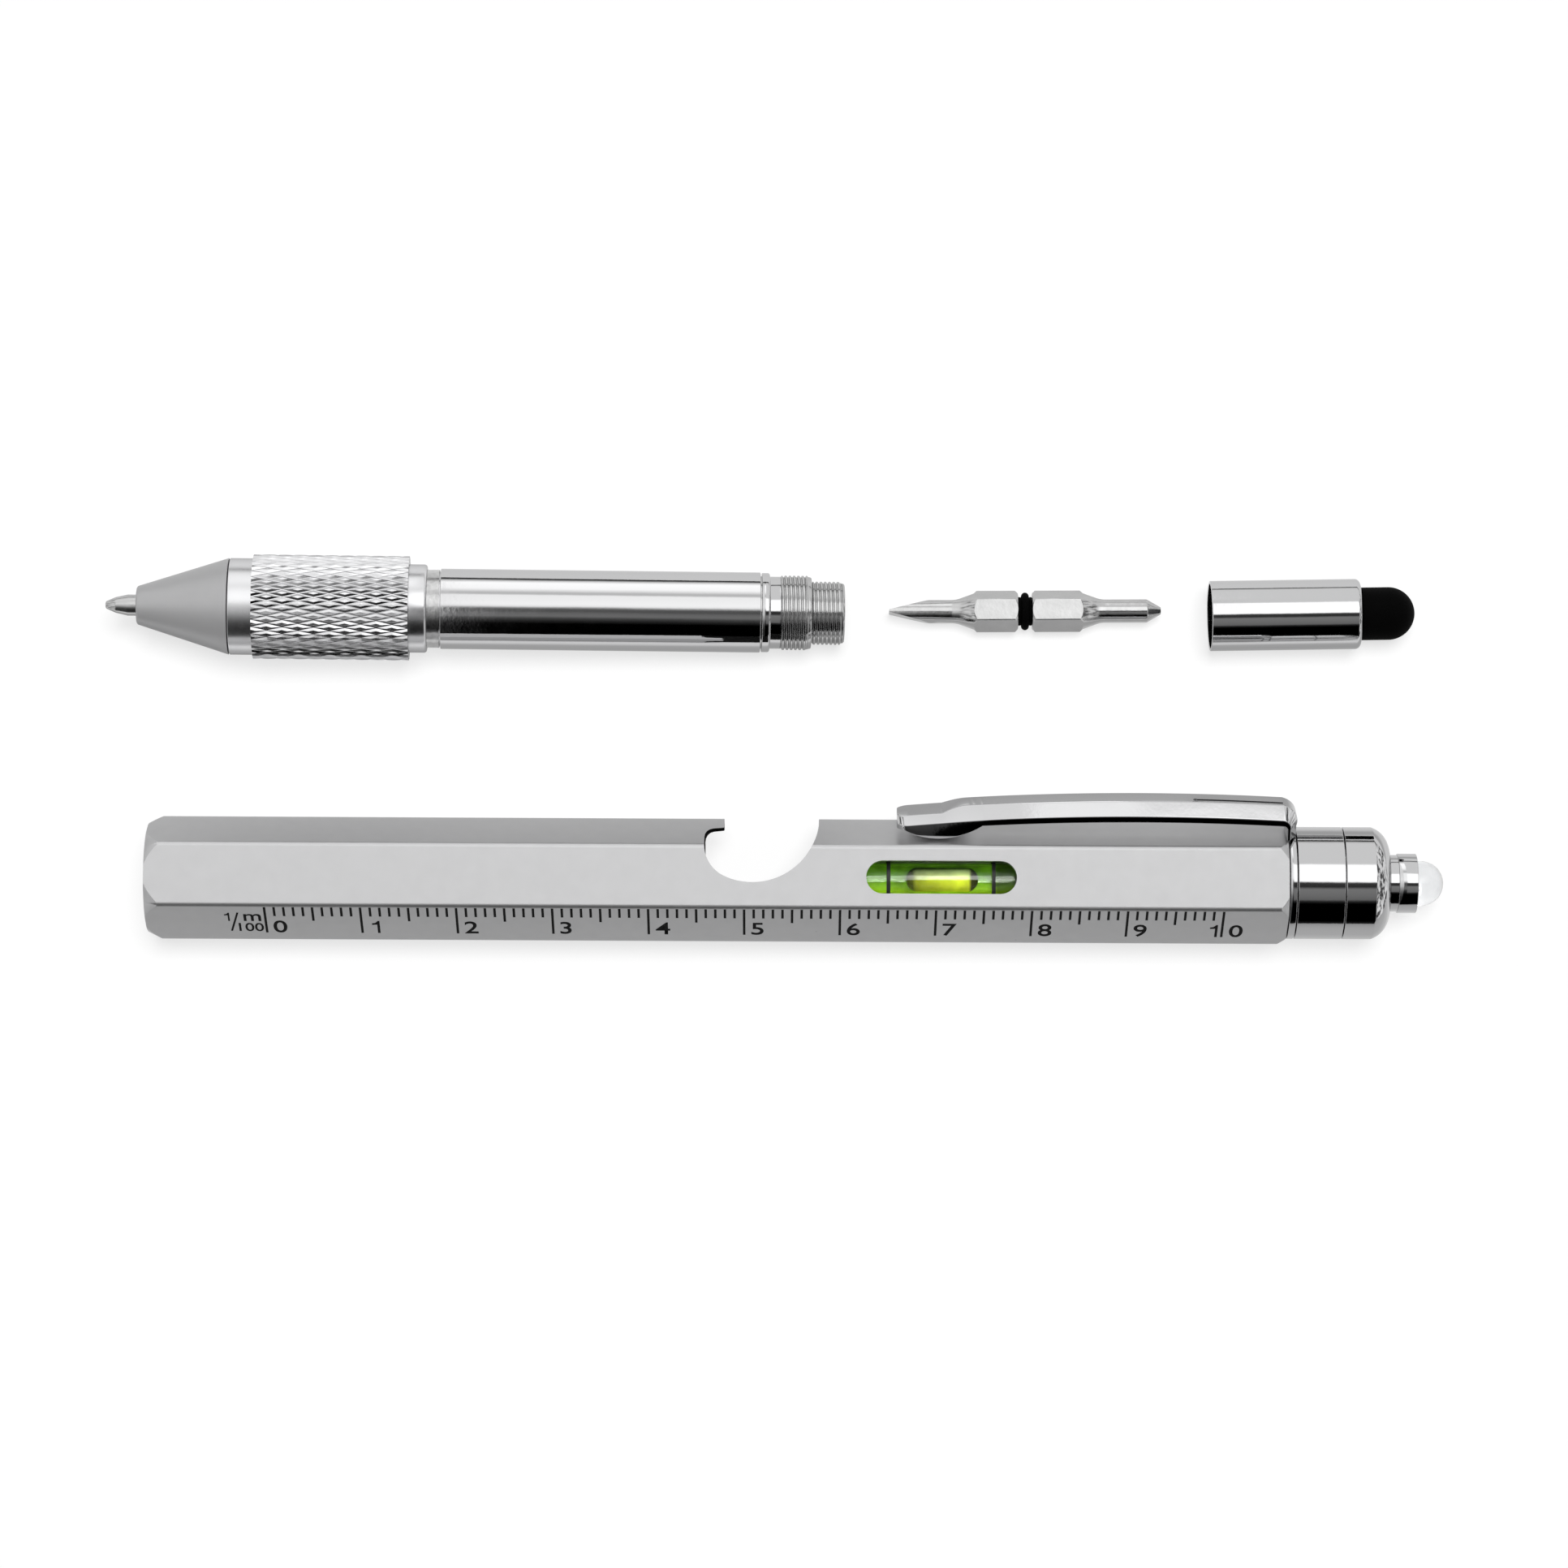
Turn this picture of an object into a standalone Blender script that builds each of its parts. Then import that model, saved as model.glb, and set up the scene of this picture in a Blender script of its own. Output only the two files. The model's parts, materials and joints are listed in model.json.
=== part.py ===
"""Multi tool pen, laid out in its four loose groups on a table.

The hexagonal barrel carries a ruler face, a spirit vial, a bottle opener notch, a spring clip and a torch.
The pen unit, the double-ended driver bit and the stylus cap lie beside it, as they come apart for use.
Lengths are in metres. Every group is modelled along its own +X axis and hangs on its own empty.
"""

import math

import bmesh
import bpy
from mathutils import Matrix, Vector

# Clearances and shared sizes
SEAT_GAP = 0.00012
RUNNING_GAP = 0.00020
PRINT_GAP = 0.00004
SOFT_GAP = 0.00010
CUT_OVERRUN = 0.0010
WELD_DISTANCE = 1e-7
TINY_CHAMFER = 0.00015

# Sides of the turned pieces
SIDES_ENVELOPE = 60
SIDES_LARGE = 32
SIDES_SMALL = 24
SIDES_TINY = 16
ARC_STEPS = 5
COIL_STEPS = 8
SMOOTH_ANGLE = math.radians(30)

# Hexagonal barrel
BARREL_FLATS = 0.01135
BARREL_CORNER_RADIUS = 0.00060
FRONT_CHAMFER_RADIUS = 0.00580
FRONT_CHAMFER_LENGTH = 0.00165
REAR_CHAMFER_RADIUS = 0.00600
REAR_CHAMFER_LENGTH = 0.00100
MOUTH_SPARE_DEPTH = 0.00030
FRONT_BORE_SPARE = 0.0100
BORE_DIAMETER = 0.00890

# Bottle opener notch, cut through the barrel from its +Y corner
NOTCH_FRONT_WALL = 0.00040
NOTCH_REAR_WALL = 0.00240
NOTCH_SWEEP_RADIUS = 0.00700
NOTCH_DEPTH_PAST_AXIS = 0.00060
NOTCH_CLAW_RADIUS = 0.00365
NOTCH_CLAW_ANGLE = math.radians(246.2)
NOTCH_LIP_CORNER_RADIUS = 0.00100
NOTCH_LIP_REACH = 0.00205
NOTCH_LIP_RISE = 0.00020
NOTCH_LIP_DROP = 0.00130

# Spirit vial under its window
WINDOW_WIDTH = 0.00345
VIAL_DIAMETER = 0.00500
VIAL_WALL = 0.00065
VIAL_LENGTH = 0.01840
VIAL_END_THICKNESS = 0.00090
VIAL_PLUG_LENGTH = 0.00160
VIAL_BUBBLE_DIAMETER = 0.00250
VIAL_BUBBLE_LENGTH = 0.00760
VIAL_BUBBLE_DRIFT = 0.00015
VIAL_RING_MARGIN = 0.00170
VIAL_RING_WIDTH = 0.00040
VIAL_RING_THICKNESS = 0.00010
CARRIER_WALL = 0.00080
CARRIER_END_GAP = 0.00058
CARRIER_TO_TORCH = 0.01242

# Threaded sleeve inside the front bore
SLEEVE_LENGTH = 0.00520
SLEEVE_THREAD_DIAMETER = 0.00755

# Torch at the rear end
TORCH_DIAMETER = 0.01180
CLIP_RING_THICKNESS = 0.00070
HOUSING_HEAD_LENGTH = 0.00490
HOUSING_SPIGOT_LENGTH = 0.01430
HOUSING_END_WALL = 0.00080
HOUSING_WALL = 0.00025
CAP_THREAD_DIAMETER = 0.00970
CAP_THREAD_LENGTH = 0.00360
CAP_BORE = 0.00840
CAP_LENGTH = 0.00490
CAP_SHOULDER_RADIUS = 0.00215
CAP_END_WALL = 0.00100
CELL_DIAMETER = 0.00790
CELL_THICKNESS = 0.00350
CELL_POLE_DIAMETER = 0.00640
CELL_POLE_HEIGHT = 0.00030
CELL_COUNT = 3
BATTERY_SPRING_DIAMETER = 0.00560
BATTERY_SPRING_WIRE = 0.00035
BATTERY_SPRING_TURNS = 4
CONTACT_THICKNESS = 0.00070
BUTTON_STEM_DIAMETER = 0.00597
BUTTON_COLLAR_DIAMETER = 0.00625
BUTTON_COLLAR_LENGTH = 0.00200
BUTTON_STROKE = 0.00080
BUTTON_FLANGE_DIAMETER = 0.00780
BUTTON_FLANGE_THICKNESS = 0.00060
BUTTON_SPRING_WIRE = 0.00030
BUTTON_SPRING_TURNS = 2
LED_DIAMETER = 0.00472
LED_FLANGE_DIAMETER = 0.00560
LED_FLANGE_THICKNESS = 0.00080
LED_PROUD = 0.00290

# Spring clip on the face above the +Y corner
CLIP_FACE_ANGLE = math.radians(-60)
CLIP_REACH = 0.041195
CLIP_WIDTH = 0.00450
CLIP_UNDERSIDE_HEIGHT = 0.00185
CLIP_EDGE_THICKNESS = 0.00075
CLIP_SHOULDER_HEIGHT = 0.00055
CLIP_RIB_HEIGHT = 0.00065
CLIP_RIB_WIDTH = 0.00290
CLIP_RIB_START = 0.00470
CLIP_RIB_RAMP = 0.00120
CLIP_BOW = 0.00035
CLIP_EDGE_ROUND = 0.00020
CLIP_TAIL_ROUND = 0.00130
CLIP_TAIL_INSET_SHARE = 0.75
CLIP_LOW_RIB_SHARE = 0.1
CLIP_BEND_RADIUS = 0.00040
CLIP_LEG_THICKNESS = 0.00105
CLIP_BUMP_START = 0.00070
CLIP_BUMP_LENGTH = 0.00820
CLIP_BUMP_GAP = 0.00030

# Pen unit, measured from its tip
PEN_TIP_TAPER = 0.00235
PEN_TIP_POINT = 0.00070
REFILL_DIAMETER = 0.00224
REFILL_TIP_LENGTH = 0.00600
REFILL_TUBE_DIAMETER = 0.00300
REFILL_TUBE_WALL = 0.00040
REFILL_NECK_LENGTH = 0.00200
CONE_START = 0.00330
CONE_NOSE_DIAMETER = 0.00400
CONE_LENGTH = 0.00970
CONE_NOSE_ROUND = 0.00040
CONE_NOSE_LAND = 0.00120
BAND_DIAMETER = 0.01020
BAND_LENGTH = 0.00260
CONE_THREAD_DIAMETER = 0.00780
CONE_THREAD_LENGTH = 0.00450
KNURL_DIAMETER = 0.01105
KNURL_DEPTH = 0.00034
KNURL_LENGTH = 0.01640
KNURL_AROUND = 42
KNURL_ROWS = 10
KNURL_END_CHAMFER = 0.00030
COLLAR_DIAMETER = 0.00933
COLLAR_LENGTH = 0.00190
COLLAR_CHAMFER = 0.00035
NECK_DIAMETER = 0.00820
NECK_LENGTH = 0.00130
GRIP_SPIGOT_LENGTH = 0.00500
TUBE_DIAMETER = 0.00850
TUBE_WALL = 0.00030
TUBE_LENGTH = 0.03390
TAIL_SPIGOT_LENGTH = 0.00900
TAIL_RING_DIAMETER = 0.00840
TAIL_RING_LENGTH = 0.00100
TAIL_RELIEF_DIAMETER = 0.00720
TAIL_RELIEF_LENGTH = 0.00110
BARREL_THREAD_DIAMETER = 0.00790
BARREL_THREAD_LENGTH = 0.00330
BARREL_THREAD_CHAMFER = 0.00040
CAP_STUD_DIAMETER = 0.00670
CAP_STUD_LENGTH = 0.00350
CAP_STUD_CHAMFER = 0.00040
SOCKET_DEPTH = 0.01450
SEAT_CUP_LENGTH = 0.00400
SEAT_CUP_FLOOR = 0.00100

# Driver bit, measured from its flat blade
BIT_FLATS = 0.00390
BIT_CORNER_RADIUS = 0.00030
BIT_SHANK_DIAMETER = 0.00248
BIT_BLADE_LENGTH = 0.00350
BIT_BLADE_THICKNESS = 0.00045
BIT_SHANK_LENGTH = 0.00360
BIT_FLARE_LENGTH = 0.00190
BIT_HEX_FRONT_LENGTH = 0.00470
BIT_GROOVE_LENGTH = 0.00150
BIT_GROOVE_DIAMETER = 0.00270
BIT_HEX_REAR_LENGTH = 0.00540
BIT_REAR_SHANK_LENGTH = 0.00490
BIT_CROSS_LENGTH = 0.00150
BIT_CROSS_TIP_DIAMETER = 0.00070
BIT_CROSS_WING = 0.00050
BIT_FLUTE_LENGTH = 0.00225
RING_SECTION_DIAMETER = 0.00066

# Stylus cap, measured from its open mouth
STYLUS_SLEEVE_DIAMETER = 0.00745
STYLUS_SLEEVE_LENGTH = 0.01590
STYLUS_SLEEVE_WALL = 0.00030
STYLUS_SLEEVE_ROUND = 0.00050
STYLUS_END_WALL = 0.00060
STYLUS_TIP_DIAMETER = 0.00560
STYLUS_TIP_LENGTH = 0.00580
STYLUS_TIP_WALL = 0.00090
STYLUS_FLANGE_DIAMETER = 0.00650
STYLUS_FLANGE_THICKNESS = 0.00080
STYLUS_CORE_LENGTH = 0.00500
STYLUS_PLUG_LENGTH = 0.00140

# Lay-out of the groups on the table, from the middle of the barrel's front end
PEN_X = -0.00500
PEN_Y = 0.02873
PEN_TURN = math.radians(-0.15)
BIT_X = 0.07778
BIT_Y = 0.02895
BIT_TURN = math.radians(0.49)
CAP_X = 0.11178
CAP_Y = 0.02848
CAP_TURN = math.radians(1.10)

# Sizes that follow from the ones above
MOUTH_LENGTH = COLLAR_LENGTH + MOUTH_SPARE_DEPTH
BARREL_APOTHEM = BARREL_FLATS / 2
BARREL_CORNER = (BARREL_APOTHEM - BARREL_CORNER_RADIUS) / math.cos(math.pi / 6) + BARREL_CORNER_RADIUS
BORE_RADIUS = BORE_DIAMETER / 2
TORCH_RADIUS = TORCH_DIAMETER / 2
CONE_END = CONE_START + CONE_LENGTH
GRIP_X = CONE_END + SEAT_GAP
KNURL_X = CONE_END + BAND_LENGTH
KNURL_BACK = KNURL_X + KNURL_LENGTH
COLLAR_BACK = KNURL_BACK + COLLAR_LENGTH
NECK_BACK = COLLAR_BACK + NECK_LENGTH
TUBE_X = NECK_BACK + SEAT_GAP
TUBE_BACK = NECK_BACK + TUBE_LENGTH
TUBE_BORE_RADIUS = TUBE_DIAMETER / 2 - TUBE_WALL
TAIL_RING_BACK = TUBE_BACK + TAIL_RING_LENGTH
BARREL_THREAD_X = TAIL_RING_BACK + TAIL_RELIEF_LENGTH
BARREL_THREAD_BACK = BARREL_THREAD_X + BARREL_THREAD_LENGTH
PEN_END = BARREL_THREAD_BACK + CAP_STUD_LENGTH
SLEEVE_X = TUBE_BACK - KNURL_BACK + TAIL_RING_LENGTH + TAIL_RELIEF_LENGTH / 2
TAIL_X = TUBE_BACK - TAIL_SPIGOT_LENGTH
SEAT_CUP_X = TAIL_X - SEAT_GAP - SEAT_CUP_LENGTH
REFILL_TUBE_X = REFILL_TIP_LENGTH + SEAT_GAP
REFILL_END = SEAT_CUP_X + SEAT_CUP_LENGTH - SEAT_CUP_FLOOR - SEAT_GAP
REFILL_CHANNEL = REFILL_TUBE_DIAMETER + 2 * RUNNING_GAP
FRONT_BORE_END = PEN_END - KNURL_BACK + FRONT_BORE_SPARE
NOTCH_CENTRE_X = FRONT_BORE_END + NOTCH_FRONT_WALL + NOTCH_SWEEP_RADIUS
REAR_BORE_START = NOTCH_CENTRE_X + NOTCH_SWEEP_RADIUS + NOTCH_REAR_WALL
VIAL_RADIUS = VIAL_DIAMETER / 2
VIAL_AXIS_HEIGHT = BORE_RADIUS - SEAT_GAP - VIAL_RING_THICKNESS - PRINT_GAP - VIAL_RADIUS
CARRIER_X = REAR_BORE_START + CARRIER_END_GAP
VIAL_X = CARRIER_X + CARRIER_WALL + SEAT_GAP
CARRIER_LENGTH = VIAL_LENGTH + 2 * (CARRIER_WALL + SEAT_GAP)
VIAL_BORE_RADIUS = VIAL_RADIUS - VIAL_WALL
LIQUID_X = VIAL_X + VIAL_END_THICKNESS + SOFT_GAP
LIQUID_LENGTH = VIAL_LENGTH - VIAL_END_THICKNESS - VIAL_PLUG_LENGTH - 2 * SOFT_GAP
LIQUID_RADIUS = VIAL_BORE_RADIUS - SOFT_GAP
WINDOW_LENGTH = LIQUID_LENGTH
WINDOW_MIDDLE = LIQUID_X + LIQUID_LENGTH / 2
WINDOW_FRONT = WINDOW_MIDDLE - WINDOW_LENGTH / 2
VIAL_RING_SPACING = VIAL_BUBBLE_LENGTH + 2 * VIAL_RING_MARGIN
BUBBLE_RADIUS = VIAL_BUBBLE_DIAMETER / 2
BUBBLE_HEIGHT = VIAL_AXIS_HEIGHT + VIAL_BORE_RADIUS - SOFT_GAP - BUBBLE_RADIUS
CHANNEL_RADIUS = BUBBLE_RADIUS + SOFT_GAP
SPIGOT_FRONT = CARRIER_X + CARRIER_LENGTH + CARRIER_TO_TORCH
HOUSING_X = SPIGOT_FRONT + HOUSING_SPIGOT_LENGTH
RING_X = HOUSING_X - SEAT_GAP - CLIP_RING_THICKNESS
BARREL_LENGTH = RING_X - SEAT_GAP
HOUSING_BACK = HOUSING_X + HOUSING_HEAD_LENGTH
CAP_FACE_X = HOUSING_BACK + SEAT_GAP
CAP_BACK = CAP_FACE_X + CAP_LENGTH
CONTACT_X = CAP_FACE_X - CAP_THREAD_LENGTH
CELLS_X = CONTACT_X - CELL_COUNT * (CELL_THICKNESS + SOFT_GAP)
BATTERY_SPRING_X = SPIGOT_FRONT + HOUSING_END_WALL + SOFT_GAP
BATTERY_SPRING_LENGTH = CELLS_X - SOFT_GAP - BATTERY_SPRING_X
COLLAR_X = CAP_BACK + BUTTON_STROKE + SOFT_GAP
BUTTON_FLANGE_X = CAP_BACK - CAP_END_WALL - SOFT_GAP - BUTTON_FLANGE_THICKNESS
LED_FLANGE_X = BUTTON_FLANGE_X - SOFT_GAP - LED_FLANGE_THICKNESS
CLIP_HINGE_X = HOUSING_X - SEAT_GAP - CLIP_LEG_THICKNESS / 2
CLIP_HINGE_RADIUS = TORCH_RADIUS + SEAT_GAP
CLIP_TAIL_X = CLIP_HINGE_X - CLIP_REACH
SOCKET_FLATS = BIT_FLATS + 2 * RUNNING_GAP
BIT_HEX_X = BIT_BLADE_LENGTH + BIT_SHANK_LENGTH + BIT_FLARE_LENGTH
BIT_GROOVE_X = BIT_HEX_X + BIT_HEX_FRONT_LENGTH
BIT_HEX_BACK = BIT_GROOVE_X + BIT_GROOVE_LENGTH + BIT_HEX_REAR_LENGTH
BIT_END = BIT_HEX_BACK + BIT_FLARE_LENGTH + BIT_REAR_SHANK_LENGTH + BIT_CROSS_LENGTH
RING_CENTRE_RADIUS = BIT_GROOVE_DIAMETER / 2 + RING_SECTION_DIAMETER / 2 + PRINT_GAP
BIT_HEIGHT = max(BIT_FLATS / 2, RING_CENTRE_RADIUS + RING_SECTION_DIAMETER / 2)
PEN_TILT = math.atan((KNURL_DIAMETER - TUBE_DIAMETER) / 2 / (TUBE_BACK - KNURL_BACK))
PEN_HEIGHT = KNURL_DIAMETER / 2 * math.cos(PEN_TILT) + KNURL_BACK * math.sin(PEN_TILT)

# Colours of the finishes: red, green, blue, then roughness and metallic
FINISHES = {
    "silver_paint": ((0.62, 0.62, 0.62), 0.45, 0.6),
    "grey_paint": ((0.45, 0.45, 0.45), 0.55, 0.4),
    "chrome": ((0.80, 0.80, 0.80), 0.08, 1.0),
    "satin_aluminium": ((0.75, 0.75, 0.75), 0.30, 1.0),
    "nickel_steel": ((0.60, 0.59, 0.57), 0.22, 1.0),
    "brass": ((0.78, 0.60, 0.30), 0.30, 1.0),
    "black_rubber": ((0.01, 0.01, 0.01), 0.70, 0.0),
    "black_plastic": ((0.02, 0.02, 0.02), 0.50, 0.0),
    "white_plastic": ((0.80, 0.80, 0.78), 0.40, 0.0),
    "clear_acrylic": ((0.85, 0.90, 0.88), 0.05, 0.0),
    "green_liquid": ((0.20, 0.45, 0.05), 0.10, 0.0),
    "bubble_air": ((0.75, 0.85, 0.35), 0.10, 0.0),
    "clear_led": ((0.90, 0.92, 0.95), 0.05, 0.0),
}


def clear_scene():
    """Remove whatever the file already holds."""
    for old in list(bpy.data.objects):
        bpy.data.objects.remove(old)


def finish(name):
    """The material of one finish, made once and then shared."""
    material = bpy.data.materials.get(name)
    if material is None:
        colour, roughness, metallic = FINISHES[name]
        material = bpy.data.materials.new(name)
        material.use_nodes = True
        shader = material.node_tree.nodes["Principled BSDF"]
        shader.inputs["Base Color"].default_value = (*colour, 1)
        shader.inputs["Roughness"].default_value = roughness
        shader.inputs["Metallic"].default_value = metallic
    return material


def empty(name, parent=None, location=(0, 0, 0), rotation=(0, 0, 0)):
    """A frame that a group of pieces hangs on."""
    frame = bpy.data.objects.new(name, None)
    bpy.context.collection.objects.link(frame)
    frame.parent = parent
    frame.location = location
    frame.rotation_euler = rotation
    return frame


def piece(name, mesh_data, frame, finish_name, location=(0, 0, 0)):
    """An object from a finished bmesh, hung on its frame and shaded as its shape needs."""
    bmesh.ops.remove_doubles(mesh_data, verts=mesh_data.verts[:], dist=WELD_DISTANCE)
    bmesh.ops.recalc_face_normals(mesh_data, faces=mesh_data.faces[:])
    mesh = bpy.data.meshes.new(name)
    mesh_data.to_mesh(mesh)
    mesh_data.free()
    mesh.shade_smooth()
    mesh.set_sharp_from_angle(angle=SMOOTH_ANGLE)
    mesh.materials.append(finish(finish_name))
    made = bpy.data.objects.new(name, mesh)
    bpy.context.collection.objects.link(made)
    made.parent = frame
    made.location = location
    return made


def cut(target, cutter, operation="DIFFERENCE"):
    """Cut the target by another object, which stays as a hidden guide."""
    cutter.hide_render = True
    cutter.display_type = "WIRE"
    modifier = target.modifiers.new(cutter.name, "BOOLEAN")
    modifier.operation = operation
    modifier.solver = "EXACT"
    modifier.object = cutter


def arc(centre_x, centre_y, radius, start, end, steps=ARC_STEPS):
    """Points along an arc; the angles are in radians."""
    turn = [start + (end - start) * step / steps for step in range(steps + 1)]
    return [(centre_x + radius * math.cos(a), centre_y + radius * math.sin(a)) for a in turn]


def spin_outline(outline, sides, closed=True):
    """A bmesh turned about X from an outline of (x, radius) points."""
    shape = bmesh.new()
    points = [shape.verts.new((x, 0, radius)) for x, radius in outline]
    pairs = list(zip(points, points[1:]))
    if closed and outline[0][1] + outline[-1][1] > 0:
        pairs.append((points[-1], points[0]))
    edges = [shape.edges.new(pair) for pair in pairs]
    middle = (0, 0, 0)
    bmesh.ops.spin(
        shape, geom=points + edges, cent=middle, axis=(1, 0, 0), angle=math.tau, steps=sides, use_merge=True
    )
    return shape


def turned(name, outline, sides, frame, finish_name, x=0.0):
    """A round piece from its outline, which is a closed loop or starts and ends on the axis."""
    return piece(name, spin_outline(outline, sides), frame, finish_name, (x, 0, 0))


def tube_outline(length, outer, inner):
    """The outline of a plain sleeve of two radii."""
    return [(0, outer), (length, outer), (length, inner), (0, inner)]


def rounded_hexagon(apothem, corner_radius, steps):
    """Outline in the plane across the axis, with a corner at +Y and a flat at +Z."""
    centre = (apothem - corner_radius) / math.cos(math.pi / 6)
    points = []
    for corner in range(6):
        middle = corner * math.pi / 3
        centre_y = centre * math.cos(middle)
        centre_z = centre * math.sin(middle)
        points += arc(centre_y, centre_z, corner_radius, middle - math.pi / 6, middle + math.pi / 6, steps)
    return points


def extruded(outline, depth, axis="X"):
    """A prism from an outline: along X from an outline in (y, z), or along Z from one in (x, y)."""
    shape = bmesh.new()
    if axis == "X":
        points = [shape.verts.new((0, a, b)) for a, b in outline]
        way = Vector((depth, 0, 0))
    else:
        points = [shape.verts.new((a, b, -depth / 2)) for a, b in outline]
        way = Vector((0, 0, depth))
    face = shape.faces.new(points)
    grown = bmesh.ops.extrude_face_region(shape, geom=[face])["geom"]
    moved = [item for item in grown if isinstance(item, bmesh.types.BMVert)]
    bmesh.ops.translate(shape, verts=moved, vec=way)
    return shape


def lofted(rings):
    """A closed skin over rings of points with the same count, capped at both ends."""
    shape = bmesh.new()
    made = [[shape.verts.new(point) for point in ring] for ring in rings]
    for ring, following in zip(made, made[1:]):
        for i, point in enumerate(ring):
            j = (i + 1) % len(ring)
            shape.faces.new((point, ring[j], following[j], following[i]))
    shape.faces.new(made[0])
    shape.faces.new(list(reversed(made[-1])))
    return shape


def coil(name, diameter, wire, length, turns, frame, x):
    """A compression spring about X, from a formula for its helix."""
    count = turns * COIL_STEPS
    curve = bpy.data.curves.new(name, "CURVE")
    curve.dimensions = "3D"
    curve.bevel_depth = wire / 2
    curve.bevel_resolution = 1
    curve.use_fill_caps = True
    spline = curve.splines.new("POLY")
    spline.points.add(count)
    radius = (diameter - wire) / 2
    for step, point in enumerate(spline.points):
        angle = math.tau * step / COIL_STEPS
        along = wire / 2 + (length - wire) * step / count
        point.co = (along, radius * math.cos(angle), radius * math.sin(angle), 1)
    curve.materials.append(finish("nickel_steel"))
    made = bpy.data.objects.new(name, curve)
    bpy.context.collection.objects.link(made)
    made.parent = frame
    made.location = (x, 0, 0)
    return made


def notch_outline():
    """Plan of the bottle opener: a wide sweep, a tighter claw and the lip that hooks over them."""
    sweep_y = NOTCH_SWEEP_RADIUS - NOTCH_DEPTH_PAST_AXIS
    reach = NOTCH_SWEEP_RADIUS - NOTCH_CLAW_RADIUS
    claw_x = NOTCH_CENTRE_X + reach * math.cos(NOTCH_CLAW_ANGLE)
    claw_y = sweep_y + reach * math.sin(NOTCH_CLAW_ANGLE)
    left = claw_x - NOTCH_CLAW_RADIUS
    outside = BARREL_CORNER + CUT_OVERRUN
    lip_y = BARREL_CORNER - NOTCH_LIP_DROP
    corner_x = left + NOTCH_LIP_CORNER_RADIUS
    corner_y = lip_y - NOTCH_LIP_CORNER_RADIUS
    outline = [(NOTCH_CENTRE_X + NOTCH_SWEEP_RADIUS, outside)]
    outline += reversed(arc(NOTCH_CENTRE_X, sweep_y, NOTCH_SWEEP_RADIUS, NOTCH_CLAW_ANGLE, math.tau, 16))
    outline += reversed(arc(claw_x, claw_y, NOTCH_CLAW_RADIUS, math.pi, NOTCH_CLAW_ANGLE, 8)[:-1])
    outline += reversed(arc(corner_x, corner_y, NOTCH_LIP_CORNER_RADIUS, math.pi / 2, math.pi, 4))
    outline += [(left + NOTCH_LIP_REACH, lip_y + NOTCH_LIP_RISE), (left + NOTCH_LIP_REACH, outside)]
    return outline


def window_outline():
    """Plan of the vial window, a slot with round ends."""
    radius = WINDOW_WIDTH / 2
    front = WINDOW_FRONT + radius
    back = WINDOW_FRONT + WINDOW_LENGTH - radius
    quarter = math.pi / 2
    return arc(back, 0, radius, -quarter, quarter, 10) + arc(front, 0, radius, quarter, 3 * quarter, 10)


def make_barrel(frame):
    """The hexagonal body with turned ends, two bores, the opener notch and the vial window."""
    outline = rounded_hexagon(BARREL_APOTHEM, BARREL_CORNER_RADIUS, 3)
    barrel = piece("barrel", extruded(outline, BARREL_LENGTH), frame, "silver_paint")
    outside = BARREL_CORNER + CUT_OVERRUN
    flare = CUT_OVERRUN / FRONT_CHAMFER_LENGTH * (BARREL_CORNER - FRONT_CHAMFER_RADIUS)
    rear_flare = CUT_OVERRUN / REAR_CHAMFER_LENGTH * (BARREL_CORNER - REAR_CHAMFER_RADIUS)
    envelope = [
        (-CUT_OVERRUN, 0),
        (-CUT_OVERRUN, FRONT_CHAMFER_RADIUS - flare),
        (0, FRONT_CHAMFER_RADIUS),
        (FRONT_CHAMFER_LENGTH, BARREL_CORNER),
        (FRONT_CHAMFER_LENGTH + CUT_OVERRUN, outside),
        (BARREL_LENGTH - REAR_CHAMFER_LENGTH - CUT_OVERRUN, outside),
        (BARREL_LENGTH - REAR_CHAMFER_LENGTH, BARREL_CORNER),
        (BARREL_LENGTH, REAR_CHAMFER_RADIUS),
        (BARREL_LENGTH + CUT_OVERRUN, REAR_CHAMFER_RADIUS - rear_flare),
        (BARREL_LENGTH + CUT_OVERRUN, 0),
    ]
    cut(barrel, turned("barrel_envelope", envelope, SIDES_ENVELOPE, frame, "silver_paint"), "INTERSECT")
    mouth = COLLAR_DIAMETER / 2 + RUNNING_GAP
    front_bore = [
        (-CUT_OVERRUN, 0),
        (-CUT_OVERRUN, mouth),
        (MOUTH_LENGTH, mouth),
        (MOUTH_LENGTH, BORE_RADIUS),
        (FRONT_BORE_END, BORE_RADIUS),
        (FRONT_BORE_END, 0),
    ]
    cut(barrel, turned("front_bore", front_bore, SIDES_LARGE, frame, "silver_paint"))
    rear_bore = [
        (REAR_BORE_START, 0),
        (REAR_BORE_START, BORE_RADIUS),
        (BARREL_LENGTH + CUT_OVERRUN, BORE_RADIUS),
        (BARREL_LENGTH + CUT_OVERRUN, 0),
    ]
    cut(barrel, turned("rear_bore", rear_bore, SIDES_LARGE, frame, "silver_paint"))
    notch = extruded(notch_outline(), BARREL_FLATS + 2 * CUT_OVERRUN, "Z")
    cut(barrel, piece("opener_notch", notch, frame, "silver_paint"))
    window = extruded(window_outline(), BARREL_APOTHEM + CUT_OVERRUN, "Z")
    window_height = (BARREL_APOTHEM + CUT_OVERRUN) / 2
    cut(barrel, piece("vial_window", window, frame, "silver_paint", (0, 0, window_height)))
    return barrel


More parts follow.
